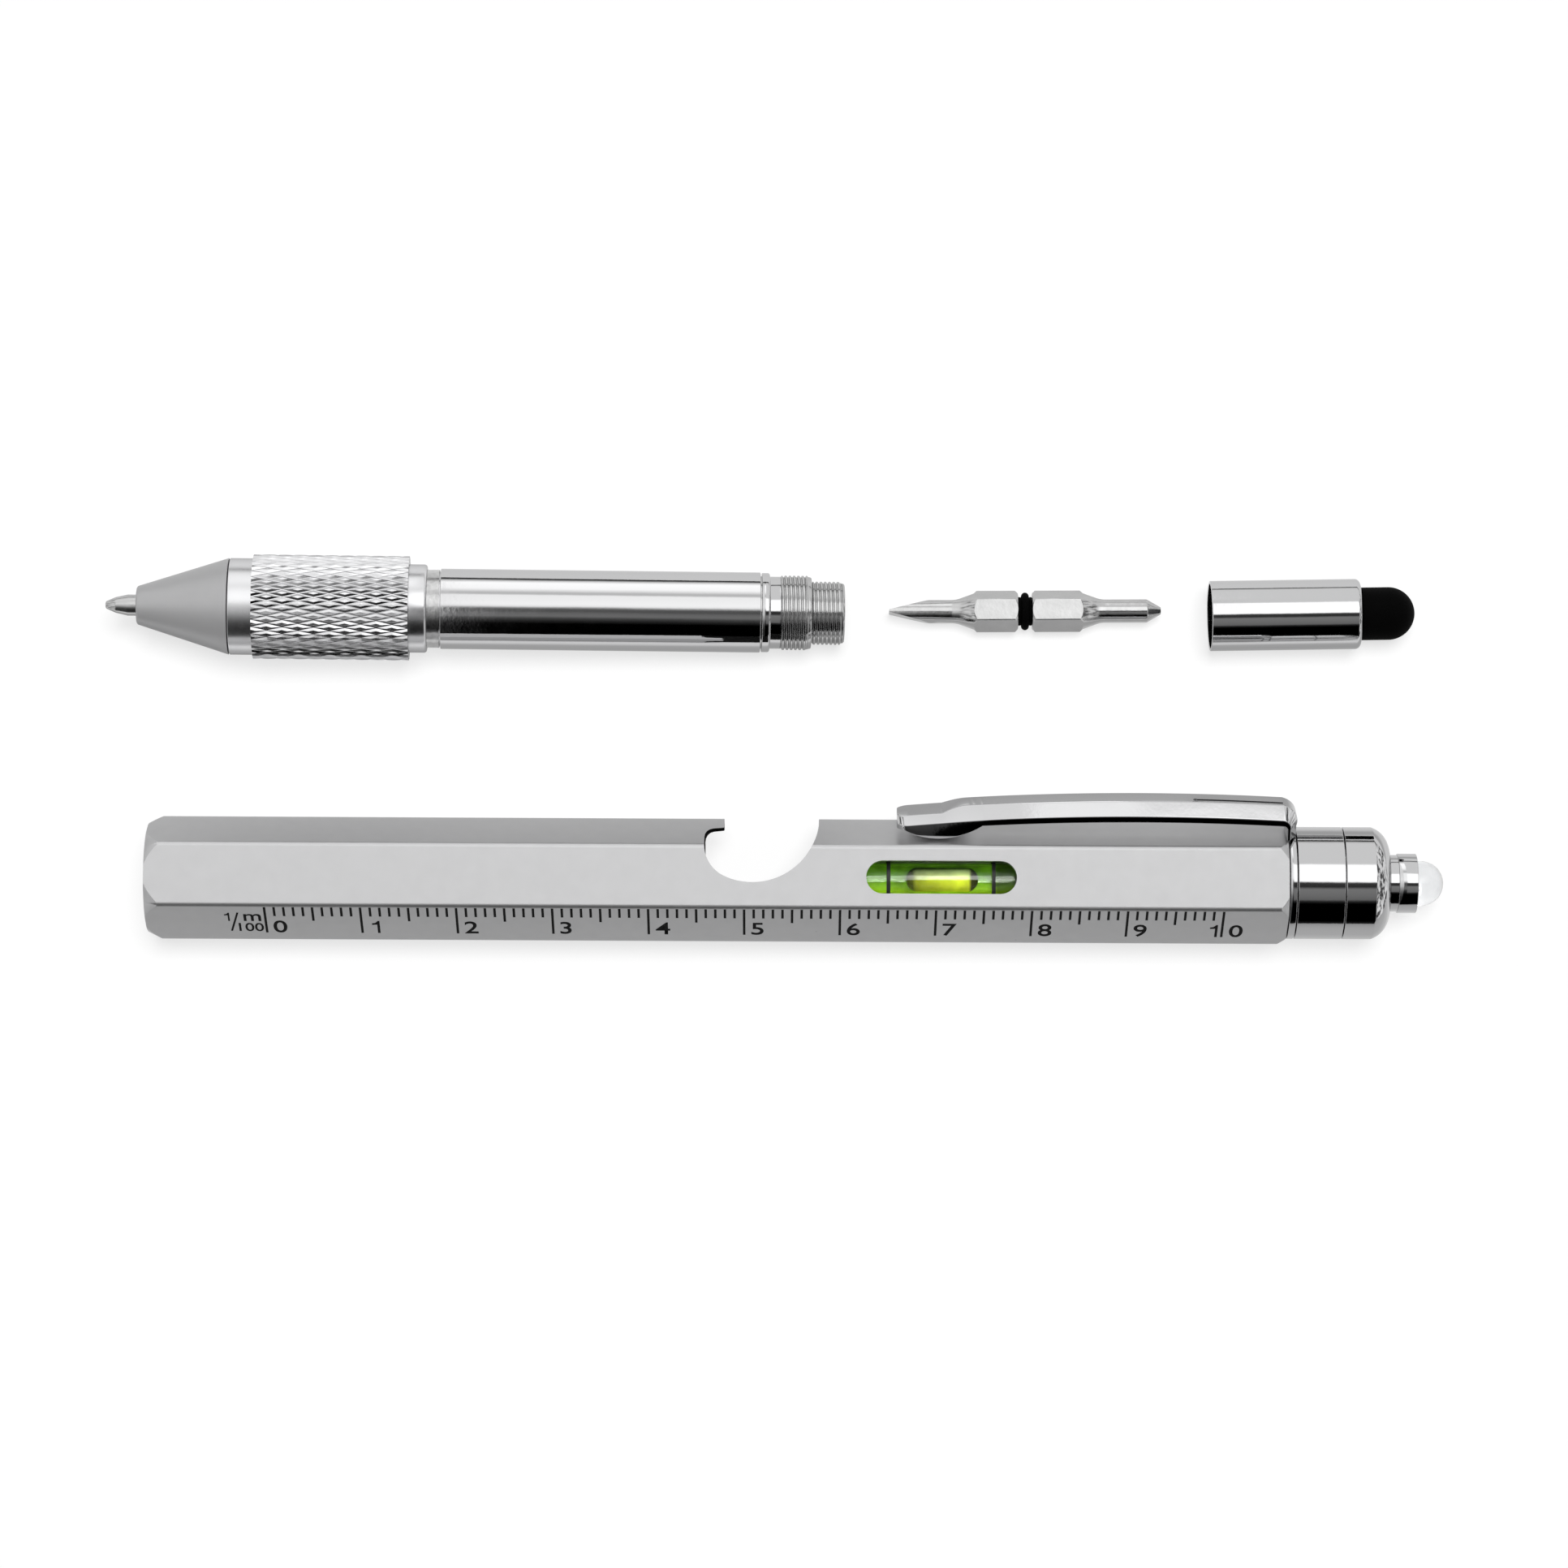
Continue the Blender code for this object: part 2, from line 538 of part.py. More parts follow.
def make_thread_sleeve(frame):
    """The threaded sleeve that the pen unit's tail screws into."""
    outline = tube_outline(SLEEVE_LENGTH, BORE_RADIUS - SEAT_GAP, SLEEVE_THREAD_DIAMETER / 2)
    return turned("thread_sleeve", outline, SIDES_LARGE, frame, "nickel_steel", SLEEVE_X)


def capsule_outline(length, radius, steps):
    """Half outline of a bubble with round ends."""
    front = arc(radius, 0, radius, math.pi, math.pi / 2, steps)
    back = arc(length - radius, 0, radius, math.pi / 2, 0, steps)
    return [(0, 0)] + front[1:] + back[:-1] + [(length, 0)]


def make_vial(frame):
    """The vial in its carrier: glass, plug, liquid, bubble and the two marking rings."""
    axis = empty("vial_frame", frame, (0, 0, VIAL_AXIS_HEIGHT))
    radius = BORE_RADIUS - SEAT_GAP
    outline = [(0, 0), (0, radius), (CARRIER_LENGTH, radius), (CARRIER_LENGTH, 0)]
    carrier = turned("vial_carrier", outline, SIDES_LARGE, frame, "white_plastic", CARRIER_X)
    trough = VIAL_RADIUS + VIAL_RING_THICKNESS + PRINT_GAP + SEAT_GAP
    rest = [(trough, BORE_DIAMETER)] + arc(0, 0, trough, 0, -math.pi, 14) + [(-trough, BORE_DIAMETER)]
    groove = extruded(rest, VIAL_LENGTH + 2 * SEAT_GAP)
    cut(carrier, piece("vial_trough", groove, axis, "white_plastic", (VIAL_X - SEAT_GAP, 0, 0)))
    glass = [
        (0, 0),
        (0, VIAL_RADIUS),
        (VIAL_LENGTH, VIAL_RADIUS),
        (VIAL_LENGTH, VIAL_BORE_RADIUS),
        (VIAL_END_THICKNESS, VIAL_BORE_RADIUS),
        (VIAL_END_THICKNESS, 0),
    ]
    turned("vial_tube", glass, SIDES_SMALL, axis, "clear_acrylic", VIAL_X)
    plug_radius = VIAL_BORE_RADIUS - SOFT_GAP
    plug = [(0, 0), (0, plug_radius), (VIAL_PLUG_LENGTH, plug_radius), (VIAL_PLUG_LENGTH, 0)]
    turned("vial_plug", plug, SIDES_SMALL, axis, "clear_acrylic", VIAL_X + VIAL_LENGTH - VIAL_PLUG_LENGTH)
    fill = [(0, 0), (0, LIQUID_RADIUS), (LIQUID_LENGTH, LIQUID_RADIUS), (LIQUID_LENGTH, 0)]
    liquid = turned("vial_liquid", fill, SIDES_SMALL, axis, "green_liquid", LIQUID_X)
    lift = BUBBLE_HEIGHT - VIAL_AXIS_HEIGHT
    channel = [(CHANNEL_RADIUS, LIQUID_RADIUS + CUT_OVERRUN)] + arc(0, lift, CHANNEL_RADIUS, 0, -math.pi, 10)
    channel += [(-CHANNEL_RADIUS, LIQUID_RADIUS + CUT_OVERRUN)]
    run = extruded(channel, LIQUID_LENGTH + 2 * CUT_OVERRUN)
    cut(liquid, piece("bubble_channel", run, axis, "green_liquid", (LIQUID_X - CUT_OVERRUN, 0, 0)))
    bubble = spin_outline(capsule_outline(VIAL_BUBBLE_LENGTH, BUBBLE_RADIUS, 4), SIDES_TINY)
    bubble_x = WINDOW_MIDDLE + VIAL_BUBBLE_DRIFT - VIAL_BUBBLE_LENGTH / 2
    piece("vial_bubble", bubble, frame, "bubble_air", (bubble_x, 0, BUBBLE_HEIGHT))
    inner = VIAL_RADIUS + PRINT_GAP
    band = tube_outline(VIAL_RING_WIDTH, inner + VIAL_RING_THICKNESS, inner)
    for name, side in (("vial_ring_front", -1), ("vial_ring_rear", 1)):
        middle = WINDOW_MIDDLE + side * VIAL_RING_SPACING / 2
        turned(name, band, SIDES_SMALL, axis, "black_plastic", middle - VIAL_RING_WIDTH / 2)


def make_torch_housing(frame):
    """The clip's ring and the torch housing, whose spigot holds the cells inside the barrel."""
    spigot = BORE_RADIUS - RUNNING_GAP
    ring = tube_outline(CLIP_RING_THICKNESS, TORCH_RADIUS, spigot + SEAT_GAP)
    turned("clip_ring", ring, SIDES_LARGE, frame, "chrome", RING_X)
    head = HOUSING_SPIGOT_LENGTH
    back = head + HOUSING_HEAD_LENGTH
    thread = CAP_THREAD_DIAMETER / 2 + SEAT_GAP
    thread_start = back - CAP_THREAD_LENGTH - RUNNING_GAP
    bore = spigot - HOUSING_WALL
    outline = [
        (0, 0),
        (0, spigot),
        (head, spigot),
        (head, TORCH_RADIUS),
        (back - TINY_CHAMFER, TORCH_RADIUS),
        (back, TORCH_RADIUS - TINY_CHAMFER),
        (back, thread),
        (thread_start, thread),
        (thread_start, bore),
        (HOUSING_END_WALL, bore),
        (HOUSING_END_WALL, 0),
    ]
    turned("torch_housing", outline, SIDES_LARGE, frame, "chrome", SPIGOT_FRONT)


def make_cells(frame):
    """The button cells and the spring that pushes them against the torch cap."""
    body = CELL_THICKNESS - CELL_POLE_HEIGHT
    radius = CELL_DIAMETER / 2
    outline = [
        (0, 0),
        (0, CELL_POLE_DIAMETER / 2),
        (CELL_POLE_HEIGHT, CELL_POLE_DIAMETER / 2),
        (CELL_POLE_HEIGHT, radius),
        (CELL_POLE_HEIGHT + body, radius),
        (CELL_POLE_HEIGHT + body, 0),
    ]
    for number in range(CELL_COUNT):
        x = CELLS_X + number * (CELL_THICKNESS + SOFT_GAP)
        turned(f"button_cell_{number + 1}", outline, SIDES_SMALL, frame, "nickel_steel", x)
    coil(
        "battery_spring", BATTERY_SPRING_DIAMETER, BATTERY_SPRING_WIRE, BATTERY_SPRING_LENGTH,
        BATTERY_SPRING_TURNS, frame, BATTERY_SPRING_X,
    )


def make_torch_cap(frame):
    """The cap that unscrews, with its contact disc, push collar, light and return spring."""
    thread = CAP_THREAD_DIAMETER / 2
    bore = CAP_BORE / 2
    shoulder = TORCH_RADIUS - CAP_SHOULDER_RADIUS
    stem_hole = BUTTON_STEM_DIAMETER / 2 + SOFT_GAP
    face = CAP_THREAD_LENGTH
    back = face + CAP_LENGTH
    outline = [
        (0, bore),
        (0, thread),
        (face, thread),
        (face, TORCH_RADIUS - TINY_CHAMFER),
        (face + TINY_CHAMFER, TORCH_RADIUS),
    ]
    outline += arc(back - CAP_SHOULDER_RADIUS, shoulder, CAP_SHOULDER_RADIUS, math.pi / 2, 0, 6)
    outline += [(back, stem_hole), (back - CAP_END_WALL, stem_hole), (back - CAP_END_WALL, bore)]
    turned("torch_cap", outline, SIDES_LARGE, frame, "chrome", CAP_FACE_X - CAP_THREAD_LENGTH)
    disc = bore - SOFT_GAP
    plate = [(0, 0), (0, disc), (CONTACT_THICKNESS, disc), (CONTACT_THICKNESS, 0)]
    turned("contact_disc", plate, SIDES_SMALL, frame, "brass", CONTACT_X)
    spring_x = CONTACT_X + CONTACT_THICKNESS + SOFT_GAP
    spring_length = LED_FLANGE_X - SOFT_GAP - spring_x
    coil(
        "button_spring", LED_FLANGE_DIAMETER, BUTTON_SPRING_WIRE, spring_length,
        BUTTON_SPRING_TURNS, frame, spring_x,
    )


def make_push_light(frame):
    """The push collar and the light that it carries."""
    stem = BUTTON_STEM_DIAMETER / 2
    collar = BUTTON_COLLAR_DIAMETER / 2
    hole = LED_DIAMETER / 2 + SOFT_GAP
    collar_front = COLLAR_X - BUTTON_FLANGE_X
    collar_back = collar_front + BUTTON_COLLAR_LENGTH
    outline = [
        (0, hole),
        (0, BUTTON_FLANGE_DIAMETER / 2),
        (BUTTON_FLANGE_THICKNESS, BUTTON_FLANGE_DIAMETER / 2),
        (BUTTON_FLANGE_THICKNESS, stem),
        (collar_front, stem),
        (collar_front, collar - TINY_CHAMFER),
        (collar_front + TINY_CHAMFER, collar),
        (collar_back - TINY_CHAMFER, collar),
        (collar_back, collar - TINY_CHAMFER),
        (collar_back, hole),
    ]
    turned("torch_button", outline, SIDES_SMALL, frame, "chrome", BUTTON_FLANGE_X)
    radius = LED_DIAMETER / 2
    tip = COLLAR_X + BUTTON_COLLAR_LENGTH + LED_PROUD - LED_FLANGE_X
    dome = arc(tip - radius, 0, radius, math.pi / 2, 0, 6)
    light = [(0, 0), (0, LED_FLANGE_DIAMETER / 2), (LED_FLANGE_THICKNESS, LED_FLANGE_DIAMETER / 2)]
    light += [(LED_FLANGE_THICKNESS, radius)] + dome[:-1] + [(tip, 0)]
    turned("led_light", light, SIDES_SMALL, frame, "clear_led", LED_FLANGE_X)


def clip_section(half_width, underside, rib_share, height_share):
    """One cross-section of the clip as (across, up) points, from the underside to the rib's top."""
    edge = min(CLIP_EDGE_ROUND, half_width / 3)
    side = CLIP_EDGE_THICKNESS * height_share
    shoulder = side + CLIP_SHOULDER_HEIGHT * height_share
    top = shoulder + CLIP_RIB_HEIGHT * height_share * rib_share
    rib = CLIP_RIB_WIDTH / CLIP_WIDTH * half_width
    lower = underside + edge
    right = [
        (half_width - edge, underside),
        (half_width, lower),
        (half_width, side),
        (rib, shoulder),
        (rib - edge / 2, top - (top - shoulder) / 4),
        (rib - edge, top),
    ]
    left = [(-across, up) for across, up in reversed(right)]
    return right + left


def clip_stations():
    """Stations along the arm: distance from the tail, half width, lowered underside, rib share."""
    arm = CLIP_HINGE_X - CLIP_TAIL_X - CLIP_LEG_THICKNESS / 2 - CLIP_BEND_RADIUS
    places = [CLIP_TAIL_ROUND * (1 - math.cos(math.pi / 2 * step / 4)) for step in range(5)]
    places += [CLIP_BUMP_START + CLIP_BUMP_LENGTH * step / 8 for step in range(2, 9)]
    places += [CLIP_RIB_START, CLIP_RIB_START + CLIP_RIB_RAMP]
    bump_end = CLIP_BUMP_START + CLIP_BUMP_LENGTH
    places += [bump_end + (arm - bump_end) * step / 6 for step in range(1, 7)]
    depth = CLIP_UNDERSIDE_HEIGHT - CLIP_BUMP_GAP
    half_chord = CLIP_BUMP_LENGTH / 2
    lens_radius = (half_chord**2 + depth**2) / 2 / depth
    stations = []
    for place in sorted(set(places)):
        round_share = min(1, place / CLIP_TAIL_ROUND)
        inset = CLIP_TAIL_ROUND * (1 - math.sqrt(1 - (1 - round_share) ** 2))
        from_middle = place - CLIP_BUMP_START - half_chord
        drop = 0
        if abs(from_middle) < half_chord:
            drop = math.sqrt(lens_radius**2 - from_middle**2) - (lens_radius - depth)
        rib_share = min(1, max(0, (place - CLIP_RIB_START) / CLIP_RIB_RAMP))
        bow = CLIP_BOW * (1 - ((place - arm / 2) / (arm / 2)) ** 2)
        half_width = CLIP_WIDTH / 2 - inset * CLIP_TAIL_INSET_SHARE
        stations.append((place, half_width, drop, max(rib_share, CLIP_LOW_RIB_SHARE), bow))
    return arm, stations


def make_clip(frame):
    """The clip: a bowed, ribbed arm with a contact bump under its tail and a leg folded down at its head."""
    hinge = empty(
        "clip_hinge",
        frame,
        (
            CLIP_HINGE_X,
            -CLIP_HINGE_RADIUS * math.sin(CLIP_FACE_ANGLE),
            CLIP_HINGE_RADIUS * math.cos(CLIP_FACE_ANGLE),
        ),
        (CLIP_FACE_ANGLE, 0, 0),
    )
    arm, stations = clip_stations()
    tail = CLIP_TAIL_X - CLIP_HINGE_X
    underside = BARREL_APOTHEM + CLIP_UNDERSIDE_HEIGHT - CLIP_HINGE_RADIUS - CLIP_BOW
    rings = []
    for place, half_width, drop, rib_share, bow in stations:
        section = clip_section(half_width, -drop, rib_share, 1)
        rings.append([(tail + place, across, underside + bow + up) for across, up in section])
    full = CLIP_EDGE_THICKNESS + CLIP_SHOULDER_HEIGHT + CLIP_RIB_HEIGHT
    leg_share = CLIP_LEG_THICKNESS / full
    centre_x = tail + arm
    centre_z = underside - CLIP_BEND_RADIUS
    for step in range(1, 6):
        angle = math.pi / 2 * step / 5
        share = 1 + (leg_share - 1) * step / 5
        section = clip_section(CLIP_WIDTH / 2, 0, 1, share)
        rings.append([
            (
                centre_x + (CLIP_BEND_RADIUS + up) * math.sin(angle),
                across,
                centre_z + (CLIP_BEND_RADIUS + up) * math.cos(angle),
            )
            for across, up in section
        ])
    rings.append([(x, across, 0) for x, across, _ in rings[-1]])
    return piece("clip_arm", lofted(rings), hinge, "chrome")


def make_refill(frame):
    """The ink refill: its metal tip and the tube pressed onto it."""
    radius = REFILL_DIAMETER / 2
    neck = REFILL_TUBE_DIAMETER / 2 - REFILL_TUBE_WALL - SOFT_GAP
    outline = [
        (0, 0),
        (0, PEN_TIP_POINT / 4),
        (PEN_TIP_POINT / 4, PEN_TIP_POINT / 2),
        (PEN_TIP_TAPER, radius),
        (REFILL_TIP_LENGTH, radius),
        (REFILL_TIP_LENGTH, neck),
        (REFILL_TIP_LENGTH + REFILL_NECK_LENGTH, neck),
        (REFILL_TIP_LENGTH + REFILL_NECK_LENGTH, 0),
    ]
    turned("refill_tip", outline, SIDES_TINY, frame, "nickel_steel")
    outer = REFILL_TUBE_DIAMETER / 2
    tube = tube_outline(REFILL_END - REFILL_TUBE_X, outer, outer - REFILL_TUBE_WALL)
    turned("refill_tube", tube, SIDES_TINY, frame, "white_plastic", REFILL_TUBE_X)


def make_nose_cone(frame):
    """The painted nose cone, which screws into the grip."""
    nose = CONE_NOSE_DIAMETER / 2
    base = BAND_DIAMETER / 2
    thread = CONE_THREAD_DIAMETER / 2
    tip_hole = REFILL_DIAMETER / 2 + SEAT_GAP
    channel = REFILL_CHANNEL / 2
    step_x = REFILL_TUBE_X - CONE_START - RUNNING_GAP
    outline = [
        (0, tip_hole),
        (0, nose - CONE_NOSE_ROUND),
        (CONE_NOSE_ROUND / 2, nose - CONE_NOSE_ROUND / 4),
        (CONE_NOSE_LAND, nose + (base - nose) * CONE_NOSE_LAND / CONE_LENGTH),
        (CONE_LENGTH, base),
        (CONE_LENGTH, thread),
        (CONE_LENGTH + CONE_THREAD_LENGTH, thread),
        (CONE_LENGTH + CONE_THREAD_LENGTH, channel),
        (step_x, channel),
        (step_x, tip_hole),
    ]
    turned("nose_cone", outline, SIDES_LARGE, frame, "grey_paint", CONE_START)


def knurl_rings():
    """Angles, places and radii of the diamond pattern: crests and grooves alternate like a chessboard."""
    crest = KNURL_DIAMETER / 2
    rings = []
    for row in range(KNURL_ROWS + 1):
        x = KNURL_X + KNURL_END_CHAMFER + (KNURL_LENGTH - 2 * KNURL_END_CHAMFER) * row / KNURL_ROWS
        ring = []
        for i in range(2 * KNURL_AROUND):
            angle = math.pi * i / KNURL_AROUND
            radius = crest - KNURL_DEPTH * ((i + row) % 2 == 0)
            ring.append((x, radius * math.cos(angle), radius * math.sin(angle)))
        rings.append(ring)
    return rings


def add_knurl(shape):
    """Pyramids on the diamond lattice; returns its first and last ring of points."""
    points = [[shape.verts.new(place) for place in ring] for ring in knurl_rings()]
    count = 2 * KNURL_AROUND
    for row, ring in enumerate(points):
        for i in range((row + 1) % 2, count, 2):
            left = ring[i - 1]
            right = ring[(i + 1) % count]
            if row > 0:
                fore = points[row - 1][i]
                shape.faces.new((ring[i], fore, right))
                shape.faces.new((ring[i], left, fore))
            if row < KNURL_ROWS:
                aft = points[row + 1][i]
                shape.faces.new((ring[i], right, aft))
                shape.faces.new((ring[i], aft, left))
    return points[0], points[-1]


def zip_rings(shape, fine, coarse):
    """Join a ring to one with half as many points."""
    count = len(coarse)
    for i, point in enumerate(coarse):
        following = coarse[(i + 1) % count]
        start, middle, end = fine[2 * i], fine[2 * i + 1], fine[(2 * i + 2) % len(fine)]
        shape.faces.new((point, start, middle))
        shape.faces.new((point, middle, following))
        shape.faces.new((following, middle, end))


def make_grip(frame):
    """The aluminium grip: plain band, diamond knurl, collar, neck and the spigot that holds the body tube."""
    shape = bmesh.new()
    first, last = add_knurl(shape)
    band = BAND_DIAMETER / 2
    collar = COLLAR_DIAMETER / 2
    neck = NECK_DIAMETER / 2
    spigot = TUBE_BORE_RADIUS - SEAT_GAP
    spigot_back = NECK_BACK + GRIP_SPIGOT_LENGTH
    thread = CONE_THREAD_DIAMETER / 2 + SEAT_GAP
    thread_end = CONE_END + CONE_THREAD_LENGTH + RUNNING_GAP
    channel = REFILL_CHANNEL / 2
    outline = [
        (KNURL_X, band),
        (GRIP_X + TINY_CHAMFER, band),
        (GRIP_X, band - TINY_CHAMFER),
        (GRIP_X, thread),
        (thread_end, thread),
        (thread_end, channel),
        (spigot_back, channel),
        (spigot_back, spigot),
        (NECK_BACK, spigot),
        (NECK_BACK, neck),
        (COLLAR_BACK, neck),
        (COLLAR_BACK, collar - COLLAR_CHAMFER),
        (COLLAR_BACK - COLLAR_CHAMFER, collar),
        (KNURL_BACK, collar),
        (KNURL_BACK, (collar + KNURL_DIAMETER / 2) / 2),
    ]
    rings = []
    for x, radius in outline:
        turn = [math.tau * i / KNURL_AROUND for i in range(KNURL_AROUND)]
        rings.append([shape.verts.new((x, radius * math.cos(a), radius * math.sin(a))) for a in turn])
    for ring, following in zip(rings, rings[1:]):
        for i, point in enumerate(ring):
            j = (i + 1) % KNURL_AROUND
            shape.faces.new((point, ring[j], following[j], following[i]))
    zip_rings(shape, first, rings[0])
    zip_rings(shape, last, rings[-1])
    return piece("knurled_grip", shape, frame, "satin_aluminium")


def make_pen_tail(frame):
    """The body tube, the refill's seat and the threaded tail with its hexagonal bit socket."""
    tube = tube_outline(TUBE_BACK - TUBE_X, TUBE_DIAMETER / 2, TUBE_BORE_RADIUS)
    turned("body_tube", tube, SIDES_LARGE, frame, "chrome", TUBE_X)
    spigot = TUBE_BORE_RADIUS - SEAT_GAP
    ring = TAIL_RING_DIAMETER / 2
    relief = TAIL_RELIEF_DIAMETER / 2
    thread = BARREL_THREAD_DIAMETER / 2
    stud = CAP_STUD_DIAMETER / 2
    ring_start = TAIL_SPIGOT_LENGTH + SEAT_GAP
    ring_end = ring_start + TAIL_RING_LENGTH - SEAT_GAP
    thread_start = ring_end + TAIL_RELIEF_LENGTH
    thread_end = thread_start + BARREL_THREAD_LENGTH
    end = thread_end + CAP_STUD_LENGTH
    ring_round = (ring_end - ring_start) / 4
    outline = [
        (0, 0),
        (0, spigot),
        (ring_start, spigot),
        (ring_start, ring - ring_round),
        (ring_start + ring_round, ring),
        (ring_end - ring_round, ring),
        (ring_end, ring - ring_round),
        (ring_end, relief),
        (thread_start, relief),
        (thread_start + BARREL_THREAD_CHAMFER / 2, thread),
        (thread_end - BARREL_THREAD_CHAMFER, thread),
        (thread_end, thread - BARREL_THREAD_CHAMFER),
        (thread_end, stud),
        (end - CAP_STUD_CHAMFER, stud),
        (end, stud - CAP_STUD_CHAMFER),
        (end, 0),
    ]
    tail = turned("bit_socket_tail", outline, SIDES_LARGE, frame, "nickel_steel", TAIL_X)
    socket = extruded(rounded_hexagon(SOCKET_FLATS / 2, BIT_CORNER_RADIUS, 1), SOCKET_DEPTH + CUT_OVERRUN)
    cut(tail, piece("bit_socket", socket, frame, "nickel_steel", (PEN_END - SOCKET_DEPTH, 0, 0)))
    bore = REFILL_CHANNEL / 2
    cup = [
        (0, bore),
        (0, spigot),
        (SEAT_CUP_LENGTH, spigot),
        (SEAT_CUP_LENGTH, 0),
        (SEAT_CUP_LENGTH - SEAT_CUP_FLOOR, 0),
        (SEAT_CUP_LENGTH - SEAT_CUP_FLOOR, bore),
    ]
    turned("refill_seat", cup, SIDES_SMALL, frame, "black_plastic", SEAT_CUP_X)


def bit_profile(hex_radius, shank):
    """Turned envelope of the bit: both shanks, the flares and the two hexagonal lands."""
    groove = BIT_GROOVE_DIAMETER / 2
    groove_back = BIT_GROOVE_X + BIT_GROOVE_LENGTH
    return [
        (0, 0),
        (0, shank),
        (BIT_BLADE_LENGTH + BIT_SHANK_LENGTH, shank),
        (BIT_HEX_X, hex_radius),
        (BIT_GROOVE_X - TINY_CHAMFER, hex_radius),
        (BIT_GROOVE_X, hex_radius - TINY_CHAMFER),
        (BIT_GROOVE_X, groove),
        (groove_back, groove),
        (groove_back, hex_radius - TINY_CHAMFER),
        (groove_back + TINY_CHAMFER, hex_radius),
        (BIT_HEX_BACK, hex_radius),
        (BIT_HEX_BACK + BIT_FLARE_LENGTH, shank),
        (BIT_END - BIT_CROSS_LENGTH, shank),
        (BIT_END, BIT_CROSS_TIP_DIAMETER / 2),
        (BIT_END, 0),
    ]


def blade_cutter(side):
    """A wedge that leaves the flat blade, thin at the tip and full at the shank."""
    shank = BIT_SHANK_DIAMETER / 2
    far = shank + CUT_OVERRUN
    tip = BIT_BLADE_THICKNESS / 2
    slope = (shank - tip) / BIT_BLADE_LENGTH
    outline = [
        (-CUT_OVERRUN, side * (tip - slope * CUT_OVERRUN)),
        (BIT_BLADE_LENGTH + CUT_OVERRUN, side * (shank + slope * CUT_OVERRUN)),
        (BIT_BLADE_LENGTH + CUT_OVERRUN, side * far),
        (-CUT_OVERRUN, side * far),
    ]
    return extruded(outline, 2 * far, "Z")


def cross_cutter(quarter):
    """One of the four flutes that leave the cross point's wings, deepest at the tip."""
    outer = BIT_SHANK_DIAMETER + CUT_OVERRUN
    shallow_end = (BIT_END - BIT_FLUTE_LENGTH, BIT_SHANK_DIAMETER / 2)
    deep_end = (BIT_END + CUT_OVERRUN, BIT_CROSS_WING / 2)
    rings = []
    for x, inner in (shallow_end, deep_end):
        rings.append([(x, inner, inner), (x, outer, inner), (x, outer, outer), (x, inner, outer)])
    shape = lofted(rings)
    turn = Matrix.Rotation(quarter * math.pi / 2, 3, "X")
    bmesh.ops.rotate(shape, verts=shape.verts[:], cent=(0, 0, 0), matrix=turn)
    return shape


def make_bit(frame):
    """The double-ended driver bit: flat blade, hexagonal body with its ring groove, and cross point."""
    outline = rounded_hexagon(BIT_FLATS / 2, BIT_CORNER_RADIUS, 2)
    bit = piece("driver_bit", extruded(outline, BIT_END), frame, "nickel_steel")
    corner = (BIT_FLATS / 2 - BIT_CORNER_RADIUS) / math.cos(math.pi / 6) + BIT_CORNER_RADIUS
    profile = bit_profile(corner + TINY_CHAMFER / 2, BIT_SHANK_DIAMETER / 2)
    profile[0] = (-CUT_OVERRUN, 0)
    profile[1] = (-CUT_OVERRUN, BIT_SHANK_DIAMETER / 2)
    cut(bit, turned("bit_envelope", profile, SIDES_SMALL, frame, "nickel_steel"), "INTERSECT")
    for name, side in (("blade_side_left", 1), ("blade_side_right", -1)):
        cut(bit, piece(name, blade_cutter(side), frame, "nickel_steel"))
    for quarter in range(4):
        cut(bit, piece(f"cross_flute_{quarter + 1}", cross_cutter(quarter), frame, "nickel_steel"))
    middle = BIT_GROOVE_X + BIT_GROOVE_LENGTH / 2
    ring = arc(0, RING_CENTRE_RADIUS, RING_SECTION_DIAMETER / 2, 0, math.tau, 6)[:-1]
    turned("bit_ring", ring, SIDES_SMALL, frame, "black_rubber", middle)


